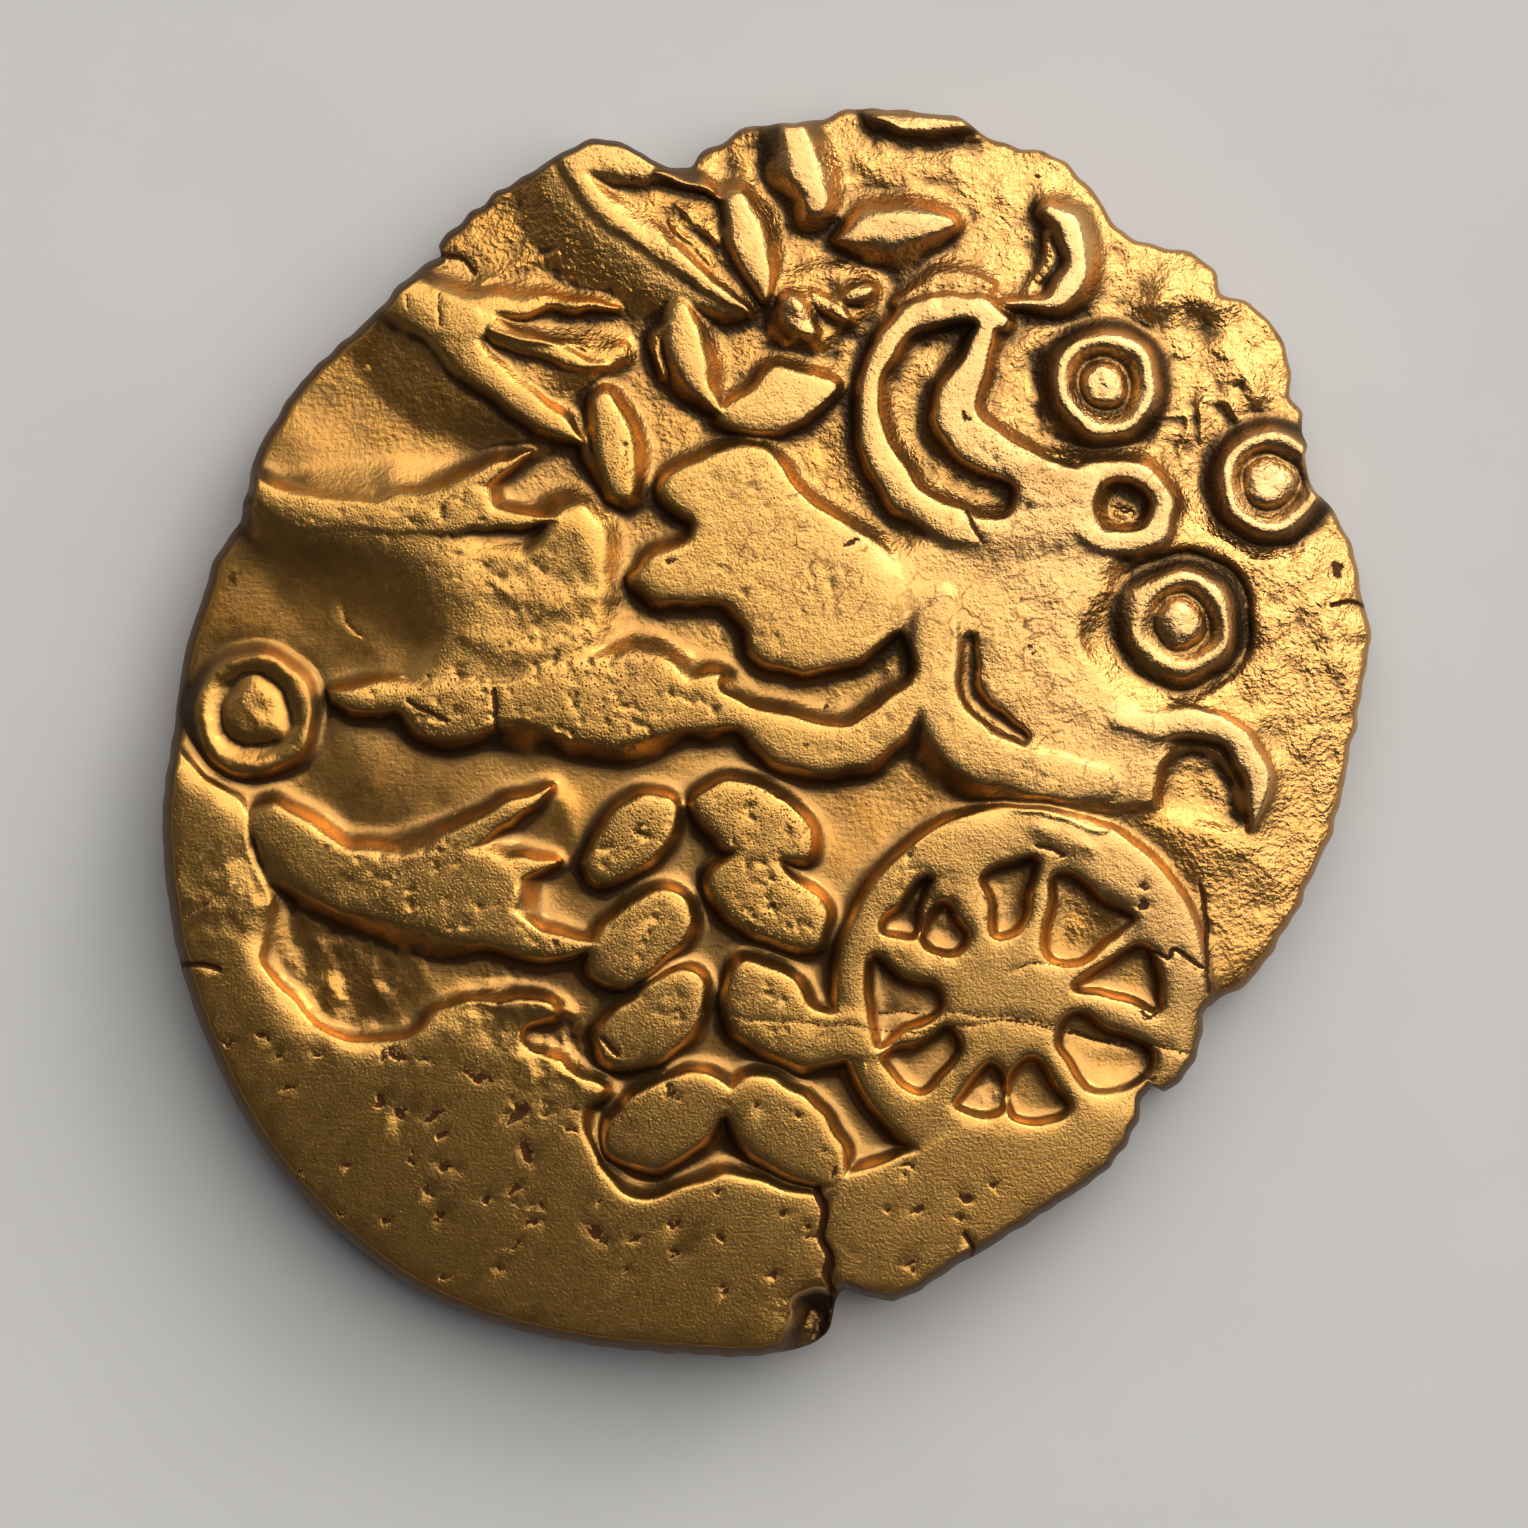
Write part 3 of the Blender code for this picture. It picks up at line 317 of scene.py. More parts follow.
# Ridges, leaves and bands: height share, crest share, then x, y and half width along the spine.
# The crest share is how much of the half width stays at full height.
STROKES = {
    "lower_band": (0.96, 0.62, [
        (318, 692, 4), (372, 700, 22), (404, 698, 22), (446, 713, 38), (482, 710, 37), (512, 702, 31),
        (556, 700, 46), (610, 702, 64), (645, 697, 60), (680, 702, 40), (712, 704, 38), (745, 715, 26),
        (788, 740, 35), (830, 747, 36), (866, 738, 35), (893, 716, 30), (907, 694, 14),
    ]),
    "high_lock_apron": (0.80, 0.02, [
        (556, 172, 46), (580, 206, 62), (624, 250, 60), (680, 288, 44), (738, 318, 12),
    ]),
    "high_lock_head": (1.0, 0.35, [(576, 158, 26), (606, 160, 34), (640, 172, 24)]),
    "high_lock_outer": (1.0, 0.22, [
        (566, 158, 16), (580, 182, 25), (602, 208, 28), (634, 232, 29), (668, 258, 25), (702, 282, 20),
        (748, 316, 7),
    ]),
    "high_lock_inner": (0.95, 0.45, [
        (570, 164, 14), (600, 158, 22), (628, 163, 20), (652, 174, 14), (690, 186, 10), (720, 204, 3),
    ]),
    "second_lock_apron": (0.62, 0.05, [
        (396, 300, 54), (440, 336, 66), (500, 362, 62), (560, 374, 50), (620, 356, 16),
    ]),
    "second_lock_skirt": (0.42, 0.02, [
        (392, 322, 56), (430, 362, 60), (486, 404, 50), (540, 434, 28),
    ]),
    "second_lock_root": (1.0, 0.45, [(376, 280, 34), (410, 302, 40), (436, 314, 40), (470, 324, 32)]),
    "second_lock_high": (0.85, 0.30, [(470, 308, 22), (540, 306, 16), (620, 311, 4)]),
    "second_lock_middle": (0.95, 0.35, [
        (478, 320, 20), (516, 340, 21), (560, 360, 16), (608, 372, 4),
    ]),
    "second_lock_low": (0.97, 0.36, [
        (440, 324, 32), (466, 354, 32), (502, 387, 31), (546, 418, 24), (584, 444, 6),
    ]),
    "third_lock_root": (0.95, 0.55, [
        (236, 484, 20), (268, 496, 22), (302, 510, 26), (346, 517, 23), (400, 516, 27), (442, 513, 36),
        (476, 507, 34),
    ]),
    "third_lock_apron": (0.84, 0.05, [
        (262, 508, 30), (330, 528, 60), (400, 540, 82), (450, 566, 96), (486, 620, 100),
    ]),
    "third_lock_high": (0.95, 0.35, [(462, 492, 22), (500, 471, 14), (534, 453, 3)]),
    "third_lock_low": (0.90, 0.40, [
        (470, 516, 26), (512, 522, 19), (550, 521, 5), (562, 520, 3),
    ]),
    "fourth_lock_root": (0.97, 0.56, [
        (276, 824, 30), (298, 850, 45), (338, 875, 46), (397, 887, 56), (447, 890, 68), (482, 892, 62),
    ]),
    "fourth_lock_high": (0.97, 0.40, [(446, 850, 28), (492, 823, 19), (528, 802, 13), (558, 784, 2)]),
    "fourth_lock_middle": (0.92, 0.40, [(478, 874, 30), (518, 867, 22), (560, 861, 4)]),
    "fourth_lock_low": (0.97, 0.60, [
        (476, 920, 34), (512, 932, 28), (546, 941, 24), (576, 945, 14), (604, 944, 3),
    ]),
    "leaf_a": (1.0, 0.22, [(790, 128, 30), (801, 166, 39), (816, 208, 27)]),
    "leaf_b": (1.0, 0.38, [(737, 206, 22), (746, 238, 33), (757, 274, 24), (765, 300, 8)]),
    "leaf_c": (1.0, 0.24, [(842, 240, 12), (868, 235, 34), (905, 231, 37), (948, 224, 16)]),
    "leaf_d": (1.0, 0.34, [(680, 318, 24), (689, 350, 34), (701, 388, 25), (718, 414, 8)]),
    "leaf_d_side": (0.55, 0.30, [(670, 322, 8), (658, 350, 11), (668, 384, 6)]),
    "leaf_e": (1.0, 0.42, [(604, 408, 22), (617, 446, 33), (625, 492, 24)]),
    "leaf_e_side": (0.60, 0.40, [(600, 420, 12), (593, 450, 14), (604, 480, 8)]),
    "rim_bead": (0.80, 0.25, [(872, 121, 10), (920, 126, 15), (976, 124, 8)]),
    "brow": (0.55, 0.40, [(900, 306, 6), (922, 290, 15), (950, 282, 14), (990, 290, 8)]),
    "small_crescent": (0.95, 0.26, [
        (1042, 212, 12), (1066, 226, 22), (1076, 256, 27), (1068, 288, 26), (1046, 306, 17),
        (1002, 304, 6),
    ]),
    "small_crescent_inner": (0.40, 0.40, [(1050, 236, 6), (1046, 262, 10), (1026, 292, 6)]),
    "large_crescent_outer": (1.0, 0.60, [
        (1004, 325, 10), (980, 313, 19), (950, 310, 20), (922, 318, 20), (896, 337, 20), (878, 363, 19),
        (870, 395, 19), (872, 432, 22), (882, 466, 24), (904, 496, 25), (936, 519, 26), (976, 530, 26),
    ]),
    "large_crescent_inner": (1.0, 0.68, [
        (986, 322, 14), (977, 352, 19), (962, 384, 26), (953, 412, 31), (964, 440, 33), (998, 462, 30),
        (1040, 484, 30), (1084, 488, 22),
    ]),
    "cheek_band": (0.95, 0.72, [
        (936, 610, 28), (932, 660, 30), (940, 706, 32), (964, 744, 34), (1006, 764, 32), (1050, 776, 26),
        (1100, 782, 20),
    ]),
    "under_crescents": (0.98, 0.02, [
        (944, 526, 56), (1000, 532, 84), (1050, 520, 82), (1090, 512, 52),
    ]),
    "hook_stem": (0.95, 0.60, [(990, 500, 32), (1030, 498, 34), (1076, 498, 32)]),
    "hook": (0.95, 0.45, [
        (1070, 486, 26), (1104, 474, 20), (1136, 478, 20), (1156, 496, 20), (1156, 522, 21),
        (1140, 540, 20), (1112, 544, 18), (1084, 534, 16), (1060, 518, 14),
    ]),
    "hook_nub": (0.60, 0.30, [(1078, 462, 12), (1090, 459, 12)]),
    "lower_crescent": (0.92, 0.40, [
        (1116, 722, 14), (1150, 727, 22), (1196, 723, 24), (1228, 737, 25), (1250, 764, 25),
        (1254, 796, 19), (1246, 826, 4),
    ]),
    "lower_crescent_horn": (0.45, 0.40, [(1236, 730, 14), (1286, 708, 3)]),
    "knot_bead": (0.95, 0.25, [(790, 306, 20), (797, 322, 28), (806, 332, 18)]),
    "knot_crumb": (0.80, 0.20, [(816, 300, 14), (834, 312, 18), (846, 322, 10)]),
    "knot_point": (0.85, 0.20, [(846, 300, 10), (860, 296, 16), (872, 294, 8)]),
}

# Rings round a pellet: x, y, pellet radius, ring radius, outer radius, height share
RINGS = {
    "ring_right": (1102, 387, 25, 46, 65, 0.92),
    "ring_far_right": (1266, 484, 28, 45, 63, 0.90),
    "ring_lower_right": (1177, 624, 29, 46, 65, 0.92),
    "ring_left": (257, 714, 34, 54, 68, 0.66),
}

# Hollows cut below the raised areas: floor as a share of the relief, then the outline
HOLLOWS = {
    "pocket_under_mass": (0.10, [
        (724, 686), (746, 678), (768, 674), (800, 677), (838, 674), (866, 661), (884, 646), (898, 634),
        (907, 655), (909, 676), (886, 697), (862, 713), (832, 721), (800, 717), (770, 708), (746, 699),
    ]),
    "pocket_in_crescent": (0.10, [
        (974, 324), (942, 326), (906, 346), (884, 378), (882, 410), (892, 440), (912, 475), (942, 501),
        (974, 515), (1000, 516), (1014, 494), (1006, 484), (970, 474), (944, 454), (930, 428), (932, 404),
        (944, 376), (964, 350),
    ]),
    "groove_under_leaves": (0.10, [
        (602, 1156), (650, 1169), (682, 1160), (706, 1143), (717, 1126), (723, 1114), (731, 1128),
        (748, 1151), (776, 1172), (820, 1190), (790, 1185), (760, 1174), (724, 1168), (682, 1180),
        (644, 1191), (620, 1178),
    ]),
    "inside_lower_crescent": (0.12, [
        (1156, 802), (1154, 776), (1172, 756), (1198, 752), (1222, 770), (1234, 800), (1232, 826),
        (1198, 822),
    ]),
    "edge_chip": (-1.00, [
        (786, 1356), (790, 1332), (800, 1314), (797, 1300), (812, 1290), (828, 1294), (846, 1290),
        (848, 1310), (830, 1328), (822, 1346), (804, 1362),
    ]),
    "hook_eye": (-0.10, [
        (1101, 498), (1112, 489), (1128, 489), (1141, 497), (1146, 512), (1137, 527), (1120, 532),
        (1106, 527), (1096, 514),
    ]),
}

# Grooves: floor share, then x, y and half width along the spine
GROOVES = {
    "cheek_groove": (0.36, [
        (968, 642, 6), (965, 665, 8), (968, 690, 9), (982, 713, 9), (1002, 729, 8), (1022, 739, 4),
    ]),
}

# The wheel
WHEEL_CENTRE = (1021, 993)
WHEEL_RADIUS = 184
WHEEL_HEIGHT_SHARE = 0.93
WHEEL_FLOOR_SHARE = 0.12
WHEEL_POCKETS = {
    "north": [(981, 877), (1004, 866), (1033, 860), (1026, 896), (1013, 930), (993, 932), (988, 902)],
    "north_east": [(1058, 873), (1082, 882), (1106, 905), (1132, 919), (1104, 940), (1080, 962),
                   (1052, 960), (1044, 936), (1052, 900)],
    "east": [(1144, 945), (1153, 966), (1157, 1010), (1118, 994), (1071, 985), (1098, 966)],
    "south_east": [(1070, 1013), (1108, 1028), (1144, 1046), (1146, 1074), (1112, 1090),
                   (1086, 1086), (1070, 1062), (1058, 1040)],
    "south": [(1022, 1060), (1036, 1058), (1048, 1078), (1065, 1108), (1038, 1118), (1009, 1112),
              (1008, 1082)],
    "south_small": [(985, 1063), (1003, 1076), (1001, 1104), (956, 1106), (968, 1084)],
    "south_west": [(882, 1055), (912, 1044), (944, 1028), (958, 1043), (940, 1070), (918, 1090),
                   (897, 1074)],
    "west": [(870, 956), (888, 968), (908, 980), (932, 984), (938, 1006), (906, 1026), (875, 1043),
             (872, 1000)],
    "north_west_outer": [(883, 930), (898, 904), (930, 876), (920, 908), (916, 935)],
    "north_west_inner": [(945, 899), (956, 918), (966, 933), (950, 952), (922, 938), (931, 916)],
}

# The far side, seen from below: a horse of loose bands and pellets over a small wheel
BACK_STROKES = {
    "body": [(520, 640, 30), (640, 600, 62), (780, 630, 46), (900, 590, 64), (980, 600, 34)],
    "neck": [(930, 570, 44), (1000, 470, 34), (1040, 400, 24)],
    "head": [(1030, 390, 28), (1100, 430, 24), (1150, 480, 14)],
    "fore_leg_near": [(930, 650, 30), (980, 760, 18), (960, 880, 14)],
    "fore_leg_far": [(980, 630, 26), (1080, 720, 17), (1100, 840, 13)],
    "hind_leg_near": [(600, 650, 32), (540, 770, 20), (580, 890, 14)],
    "hind_leg_far": [(560, 640, 28), (450, 740, 18), (440, 860, 13)],
    "tail": [(510, 610, 18), (430, 560, 14), (400, 470, 12), (440, 400, 8)],
    "mane": [(880, 500, 8), (930, 430, 16), (990, 360, 8)],
}
BACK_PELLETS = [
    (620, 420, 30), (720, 390, 30), (820, 400, 30), (960, 880, 24), (1100, 840, 22), (580, 890, 24),
    (440, 860, 22), (700, 1060, 26), (900, 1050, 26), (360, 640, 24),
]
BACK_WHEEL_CENTRE = (790, 860)
BACK_WHEEL_RADIUS = 92
BACK_WHEEL_RIM = 18
BACK_WHEEL_HUB = 26
BACK_WHEEL_SPOKE = (20, 10)
BACK_WHEEL_SPOKES = 8


# Depths of the small marks, in millimetres
PIT_DEPTH = 0.020
SCRATCH_DEPTH = 0.012
SCRATCH_HALF_WIDTH = 1.8

# Fine relief on top of the carving, in pixels. Low ridges: height in millimetres, then the spine
RIDGES = {
    "ring_right_outer_wave": (0.05, [(1046, 352, 5), (1036, 384, 7), (1044, 420, 5), (1062, 440, 3)]),
    "ring_right_halo": (0.045, [
        (1066, 330, 5), (1030, 344, 8), (1008, 376, 9), (1003, 412, 8), (1022, 444, 7), (1058, 458, 4),
    ]),
    "high_lock_rib": (0.07, [(655, 176, 3), (684, 186, 5), (712, 197, 3)]),
    "basin_rib_low": (0.06, [(668, 226, 3), (690, 244, 5), (714, 268, 3)]),
    "basin_rib_high": (0.05, [(676, 208, 3), (700, 226, 5), (716, 244, 3)]),
    "second_lock_rib": (0.06, [(492, 330, 3), (540, 346, 5), (585, 352, 3)]),
    "upper_left_rib": (0.04, [(480, 285, 4), (520, 268, 7), (560, 255, 3)]),
    "leaf_d_arc": (0.05, [(668, 325, 3), (657, 350, 5), (668, 380, 3)]),
    "field_bulge": (0.15, [(1156, 304, 18), (1182, 288, 32), (1206, 304, 20)]),
    "field_bulge_low": (0.08, [(1216, 350, 14), (1240, 372, 22), (1254, 398, 12)]),
    "bracket": (0.05, [(1200, 440, 3), (1200, 406, 4), (1224, 402, 4), (1240, 420, 3)]),
    "tick": (0.04, [(1157, 420, 2), (1185, 422, 4), (1178, 458, 2)]),
    "bead_base": (0.06, [(866, 116, 6), (920, 136, 10), (984, 134, 6)]),
    "lobe": (0.05, [(540, 540, 20), (572, 530, 30), (600, 560, 22)]),
    "granular_hem": (0.03, [(500, 590, 10), (548, 606, 16), (596, 598, 8)]),
    "lower_band_hem": (0.03, [(470, 640, 10), (530, 652, 18), (590, 640, 10)]),
    "hook_eye_dome": (0.10, [(1116, 514, 7), (1122, 516, 9), (1128, 514, 7)]),
    "recess_fold_1": (0.035, [(306, 905, 10), (322, 950, 15), (334, 1000, 15), (346, 1030, 8)]),
    "recess_fold_2": (0.020, [(352, 940, 9), (376, 985, 14), (404, 1024, 8)]),
    "recess_fold_3": (0.015, [(410, 950, 8), (436, 985, 12), (470, 1000, 8)]),
    "recess_fold_4": (0.030, [(270, 880, 10), (284, 930, 12), (300, 975, 8)]),
    "recess_lump": (0.06, [(496, 992, 10), (530, 1000, 14), (572, 1004, 8)]),
    "between_leaves": (0.03, [(566, 800, 12), (574, 840, 16), (580, 876, 12)]),
    "left_field_fold": (0.05, [(300, 580, 24), (350, 610, 38), (390, 660, 24)]),
    "wheel_rim_line": (0.03, [
        (905, 850, 3), (940, 825, 4), (1000, 806, 4), (1060, 816, 4), (1105, 832, 3),
    ]),
    "wheel_block": (0.035, [(1040, 830, 12), (1066, 838, 18), (1086, 846, 10)]),
    "low_right_fold": (0.04, [(1190, 830, 14), (1230, 850, 26), (1262, 870, 14)]),
    "upper_field_fold": (0.05, [(860, 160, 14), (900, 176, 22), (950, 168, 14)]),
}

# Fine cracks: spines of x, y, then their depth in millimetres and half width in pixels
CRACKS = [
    (0.10, 3.0, [(818, 1190), (825, 1212), (821, 1236), (832, 1256), (826, 1272), (833, 1290)]),
    (0.04, 1.8, [(1150, 948), (1165, 957), (1170, 948), (1185, 955), (1203, 964)]),
    (0.03, 1.8, [(1032, 846), (1048, 850), (1060, 856)]),
    (0.05, 2.0, [(441, 253), (462, 258), (475, 275)]),
    (0.04, 1.8, [(965, 515), (972, 530), (978, 546)]),
    (0.04, 2.0, [(410, 700), (430, 708), (450, 720)]),
    (0.04, 2.0, [(497, 690), (494, 712), (500, 735)]),
    (0.05, 2.2, [(965, 1232), (972, 1245), (970, 1258)]),
    (0.07, 2.4, [(184, 966), (204, 964), (225, 968)]),
    (0.05, 2.0, [(1330, 606), (1345, 603), (1362, 606)]),
    (0.05, 2.2, [(603, 1037), (610, 1044), (618, 1050)]),
    (0.04, 2.2, [(1196, 884), (1204, 920), (1208, 960), (1206, 990)]),
]

# Long shallow scratches: spines of x, y
SCRATCHES = [
    [(700, 1010), (800, 1022), (940, 1030), (1000, 1020), (1060, 1030), (1120, 1040), (1190, 1052)],
    [(880, 1010), (960, 1012), (1040, 1022), (1130, 1046)],
    [(223, 893), (206, 905), (190, 918)],
    [(345, 605), (352, 622), (365, 635)],
    [(410, 297), (410, 303), (411, 310)],
    [(438, 295), (440, 310), (441, 325)],
    [(1216, 470), (1216, 500), (1220, 520)],
    [(1006, 968), (1040, 962), (1066, 966)],
]

# Pits: x, y, long and short radius, and how far the long one turns from the right, in degrees
PITS = [
    (265, 1035, 5, 3, 30), (232, 1043, 5, 3, 0), (320, 1053, 7, 3, 10), (285, 1055, 6, 3, -20),
    (398, 1054, 15, 4, 30), (481, 1074, 19, 5, 12), (428, 1058, 6, 4, 0), (293, 1085, 5, 3, 0),
    (383, 1100, 6, 4, 20), (408, 1110, 6, 4, 40), (440, 1112, 12, 6, -20), (447, 1130, 6, 5, 0),
    (522, 1110, 14, 6, 60), (522, 1110, 13, 4, -30), (548, 1108, 6, 4, 0), (578, 1108, 5, 3, 0),
    (575, 1125, 5, 4, 0), (530, 1150, 13, 6, 70), (416, 1156, 8, 3, 60), (446, 1163, 13, 4, 20),
    (302, 1170, 5, 3, 0), (350, 1165, 5, 3, 0), (428, 1188, 6, 3, 20), (518, 1187, 6, 4, 0),
    (515, 1203, 5, 3, 0), (542, 1203, 5, 4, 0), (488, 1196, 5, 3, 0), (391, 1219, 10, 4, -45),
    (343, 1212, 5, 3, 0), (440, 1215, 5, 3, 0), (535, 1220, 6, 4, 0), (598, 1231, 13, 7, 50),
    (517, 1245, 6, 3, 0), (503, 1265, 6, 3, 0), (450, 1273, 6, 3, 0), (635, 1236, 6, 4, 0),
    (625, 1267, 6, 4, 0), (597, 1200, 5, 3, 0), (670, 1088, 7, 4, 0), (678, 1096, 5, 3, 0),
    (714, 1190, 5, 3, 0), (672, 1220, 7, 4, 20), (783, 1208, 5, 3, 0), (812, 1228, 5, 4, 0),
    (718, 1235, 5, 3, 0), (676, 1250, 6, 3, 0), (772, 1270, 6, 4, 0), (725, 1285, 5, 3, 0),
    (834, 1167, 5, 4, 0), (826, 1150, 4, 3, 0), (885, 1205, 5, 3, 0), (913, 1207, 5, 3, 0),
    (965, 1195, 5, 4, 0), (992, 1180, 5, 3, 0), (958, 1215, 5, 3, 0), (908, 1165, 5, 3, 0),
    (910, 1262, 6, 3, 0), (800, 1115, 5, 3, 0), (757, 1100, 5, 3, 0), (727, 1105, 4, 3, 0),
    (850, 545, 5, 4, 0), (672, 563, 4, 3, 0), (962, 420, 4, 3, 0), (1055, 858, 5, 3, 0),
    (1140, 885, 5, 4, 0), (1142, 905, 11, 4, 10), (1147, 1012, 12, 3, 10), (635, 182, 6, 4, 30),
    (1237, 385, 6, 4, 40), (1335, 570, 6, 4, 60), (826, 704, 5, 3, 20), (1026, 650, 6, 3, 20),
]

# Where wear has rounded everything off: x, y, radius and strength
WORN_PLACES = [
    (290, 556, 46, 0.9), (350, 572, 60, 0.95), (410, 600, 60, 0.9), (420, 660, 50, 0.9),
    (440, 620, 56, 0.8), (560, 640, 60, 0.5), (600, 624, 44, 0.6), (1110, 600, 50, 0.7),
    (1128, 690, 56, 0.8), (257, 714, 44, 0.45), (896, 560, 34, 0.8), (904, 600, 34, 0.9),
    (258, 880, 44, 0.8), (236, 830, 40, 0.7), (286, 940, 36, 0.5), (540, 300, 30, 0.4),
    (590, 560, 30, 0.5), (564, 810, 30, 0.6), (1010, 590, 56, 0.9), (400, 300, 44, 0.6),
    (590, 250, 40, 0.5), (650, 290, 36, 0.5), (400, 500, 44, 0.4), (430, 380, 44, 0.5),
    (1000, 790, 30, 0.4), (1100, 790, 40, 0.7), (190, 770, 40, 0.6), (268, 930, 46, 0.8),
    (300, 1012, 40, 0.6), (380, 1044, 36, 0.5), (452, 1012, 30, 0.5), (240, 800, 30, 0.6),
    (640, 200, 34, 0.4), (1130, 1120, 50, 0.6), (1110, 920, 24, 0.6), (1110, 1080, 30, 0.6),
    (980, 1100, 24, 0.4), (1200, 1030, 40, 0.5),
]

# Where the feet of the carving stay crisp: x, y, radius and strength
CRISP_PLACES = [(1021, 993, 200, 1.0), (1102, 387, 50, 0.8), (1266, 484, 46, 0.7), (1177, 624, 50, 0.8)]

# Where the surface is broken and lumpy: x, y, radius and strength
ROUGH_PLACES = [
    (818, 312, 50, 0.9), (257, 714, 64, 0.5), (350, 970, 84, 0.45), (236, 890, 60, 0.5),
    (1215, 400, 110, 0.35), (1180, 300, 90, 0.25), (1335, 600, 60, 0.5), (820, 1322, 34, 2.4),
    (606, 640, 46, 0.6), (980, 1096, 30, 0.8), (934, 906, 40, 0.5), (940, 288, 44, 0.5),
    (1260, 900, 80, 0.2), (690, 240, 50, 0.6), (540, 600, 80, 0.3), (1080, 915, 34, 0.4),
    (1040, 650, 90, 0.2), (500, 1010, 60, 0.5), (620, 1080, 40, 0.5), (880, 180, 90, 0.2),
    (500, 215, 60, 0.2), (700, 150, 50, 0.5), (560, 270, 50, 0.4), (1102, 387, 62, 0.5),
    (1266, 484, 52, 0.5), (1177, 624, 58, 0.3), (560, 1050, 48, 0.9), (900, 130, 40, 0.3),
    (1000, 440, 60, 0.25), (1240, 340, 50, 0.4),
]

# Where red-brown toning lies: x, y, radius and strength
STAINED_PLACES = [
    (1012, 400, 46, 0.9), (1050, 462, 44, 0.8), (956, 274, 50, 0.8), (830, 258, 50, 0.6),
    (1150, 470, 40, 0.5), (1112, 640, 34, 0.6), (1240, 640, 34, 0.4), (700, 150, 44, 0.8),
    (330, 545, 50, 0.4), (505, 440, 50, 0.7), (420, 806, 74, 0.6), (560, 970, 60, 0.5),
    (640, 640, 44, 0.6), (934, 906, 46, 0.6), (886, 1000, 40, 0.6), (820, 1322, 40, 1.0),
    (250, 540, 34, 0.8), (330, 436, 70, 0.40), (850, 830, 60, 0.5), (1215, 440, 44, 0.4),
    (1290, 430, 34, 0.5), (1310, 500, 30, 0.5), (740, 300, 36, 0.6), (650, 390, 40, 0.5),
    (760, 350, 34, 0.6), (480, 270, 60, 0.4), (700, 970, 50, 0.4), (1000, 560, 40, 0.2),
    (1170, 900, 30, 0.3), (360, 950, 70, 0.5), (900, 175, 90, 0.45), (700, 200, 50, 0.5),
    (1200, 1000, 26, 0.6), (980, 1090, 36, 0.6), (1330, 560, 30, 0.5), (560, 610, 60, 0.3),
]

# Where fine cracks run: x, y, radius and strength
CRACKED_PLACES = [
    (800, 570, 120, 1.0), (1000, 600, 120, 0.9), (1080, 720, 120, 0.9), (1200, 430, 120, 0.7),
    (960, 780, 80, 0.6), (1050, 900, 120, 0.5), (450, 560, 80, 0.6), (640, 560, 60, 0.5),
    (850, 1230, 90, 0.4), (1300, 640, 90, 0.7), (1180, 280, 100, 0.6), (720, 420, 60, 0.5),
    (940, 180, 100, 0.5), (420, 860, 120, 0.4),
]

# Where the tops are eaten by fine dark grains: x, y, radius and strength
GRAINY = [
    (470, 700, 90, 0.8), (600, 700, 90, 1.0), (560, 640, 110, 0.7), (700, 720, 60, 0.6),
    (500, 590, 80, 0.6), (400, 700, 50, 0.6), (640, 840, 60, 0.9), (760, 830, 70, 0.9),
    (770, 900, 60, 0.9), (650, 930, 60, 0.7), (430, 870, 100, 0.7), (560, 930, 60, 0.7),
    (440, 520, 70, 0.7), (330, 510, 60, 0.4), (470, 340, 70, 0.4), (760, 600, 90, 0.4),
    (760, 490, 70, 0.4), (1010, 490, 90, 0.5), (900, 860, 60, 0.5), (900, 1000, 70, 0.4),
    (640, 170, 60, 0.4), (620, 450, 50, 0.6), (680, 1010, 60, 0.4), (780, 1010, 60, 0.5),
    (1000, 700, 110, 0.25), (860, 740, 70, 0.4),
]


def smooth_step(value):
    """0 below 0, 1 above 1, and an even slope between."""
    value = np.clip(value, 0.0, 1.0)
    return value * value * (3.0 - 2.0 * value)


def rounded(value):
    """0 below 0, 1 above 1, and between them a slope that rounds over more at the top."""
    value = np.clip(value, 0.0, 1.0)
    return (1 - ROUND_TOP_SHARE) * smooth_step(value) + ROUND_TOP_SHARE * np.sin(value * math.pi / 2)


def upper_right(across, down):
    """How far a step across and down the drawing goes to the coin's upper right."""
    return UPPER_RIGHT[0] * across - UPPER_RIGHT[1] * down


def closed_curve(points, steps=CURVE_STEPS):
    """A smooth closed curve through the points (centripetal Catmull-Rom)."""
    points = np.asarray(points, float)
    before, after, beyond = (np.roll(points, shift, axis=0) for shift in (1, -1, -2))
    return spline_through(before, points, after, beyond, steps).reshape(-1, points.shape[1])


def open_curve(points, steps=CURVE_STEPS):
    """A smooth open curve through the points, both ends kept."""
    points = np.asarray(points, float)
    padded = np.vstack([2 * points[0] - points[1], points, 2 * points[-1] - points[-2]])
    curve = spline_through(padded[:-3], padded[1:-2], padded[2:-1], padded[3:], steps)
    return np.vstack([curve.reshape(-1, points.shape[1]), points[-1:]])


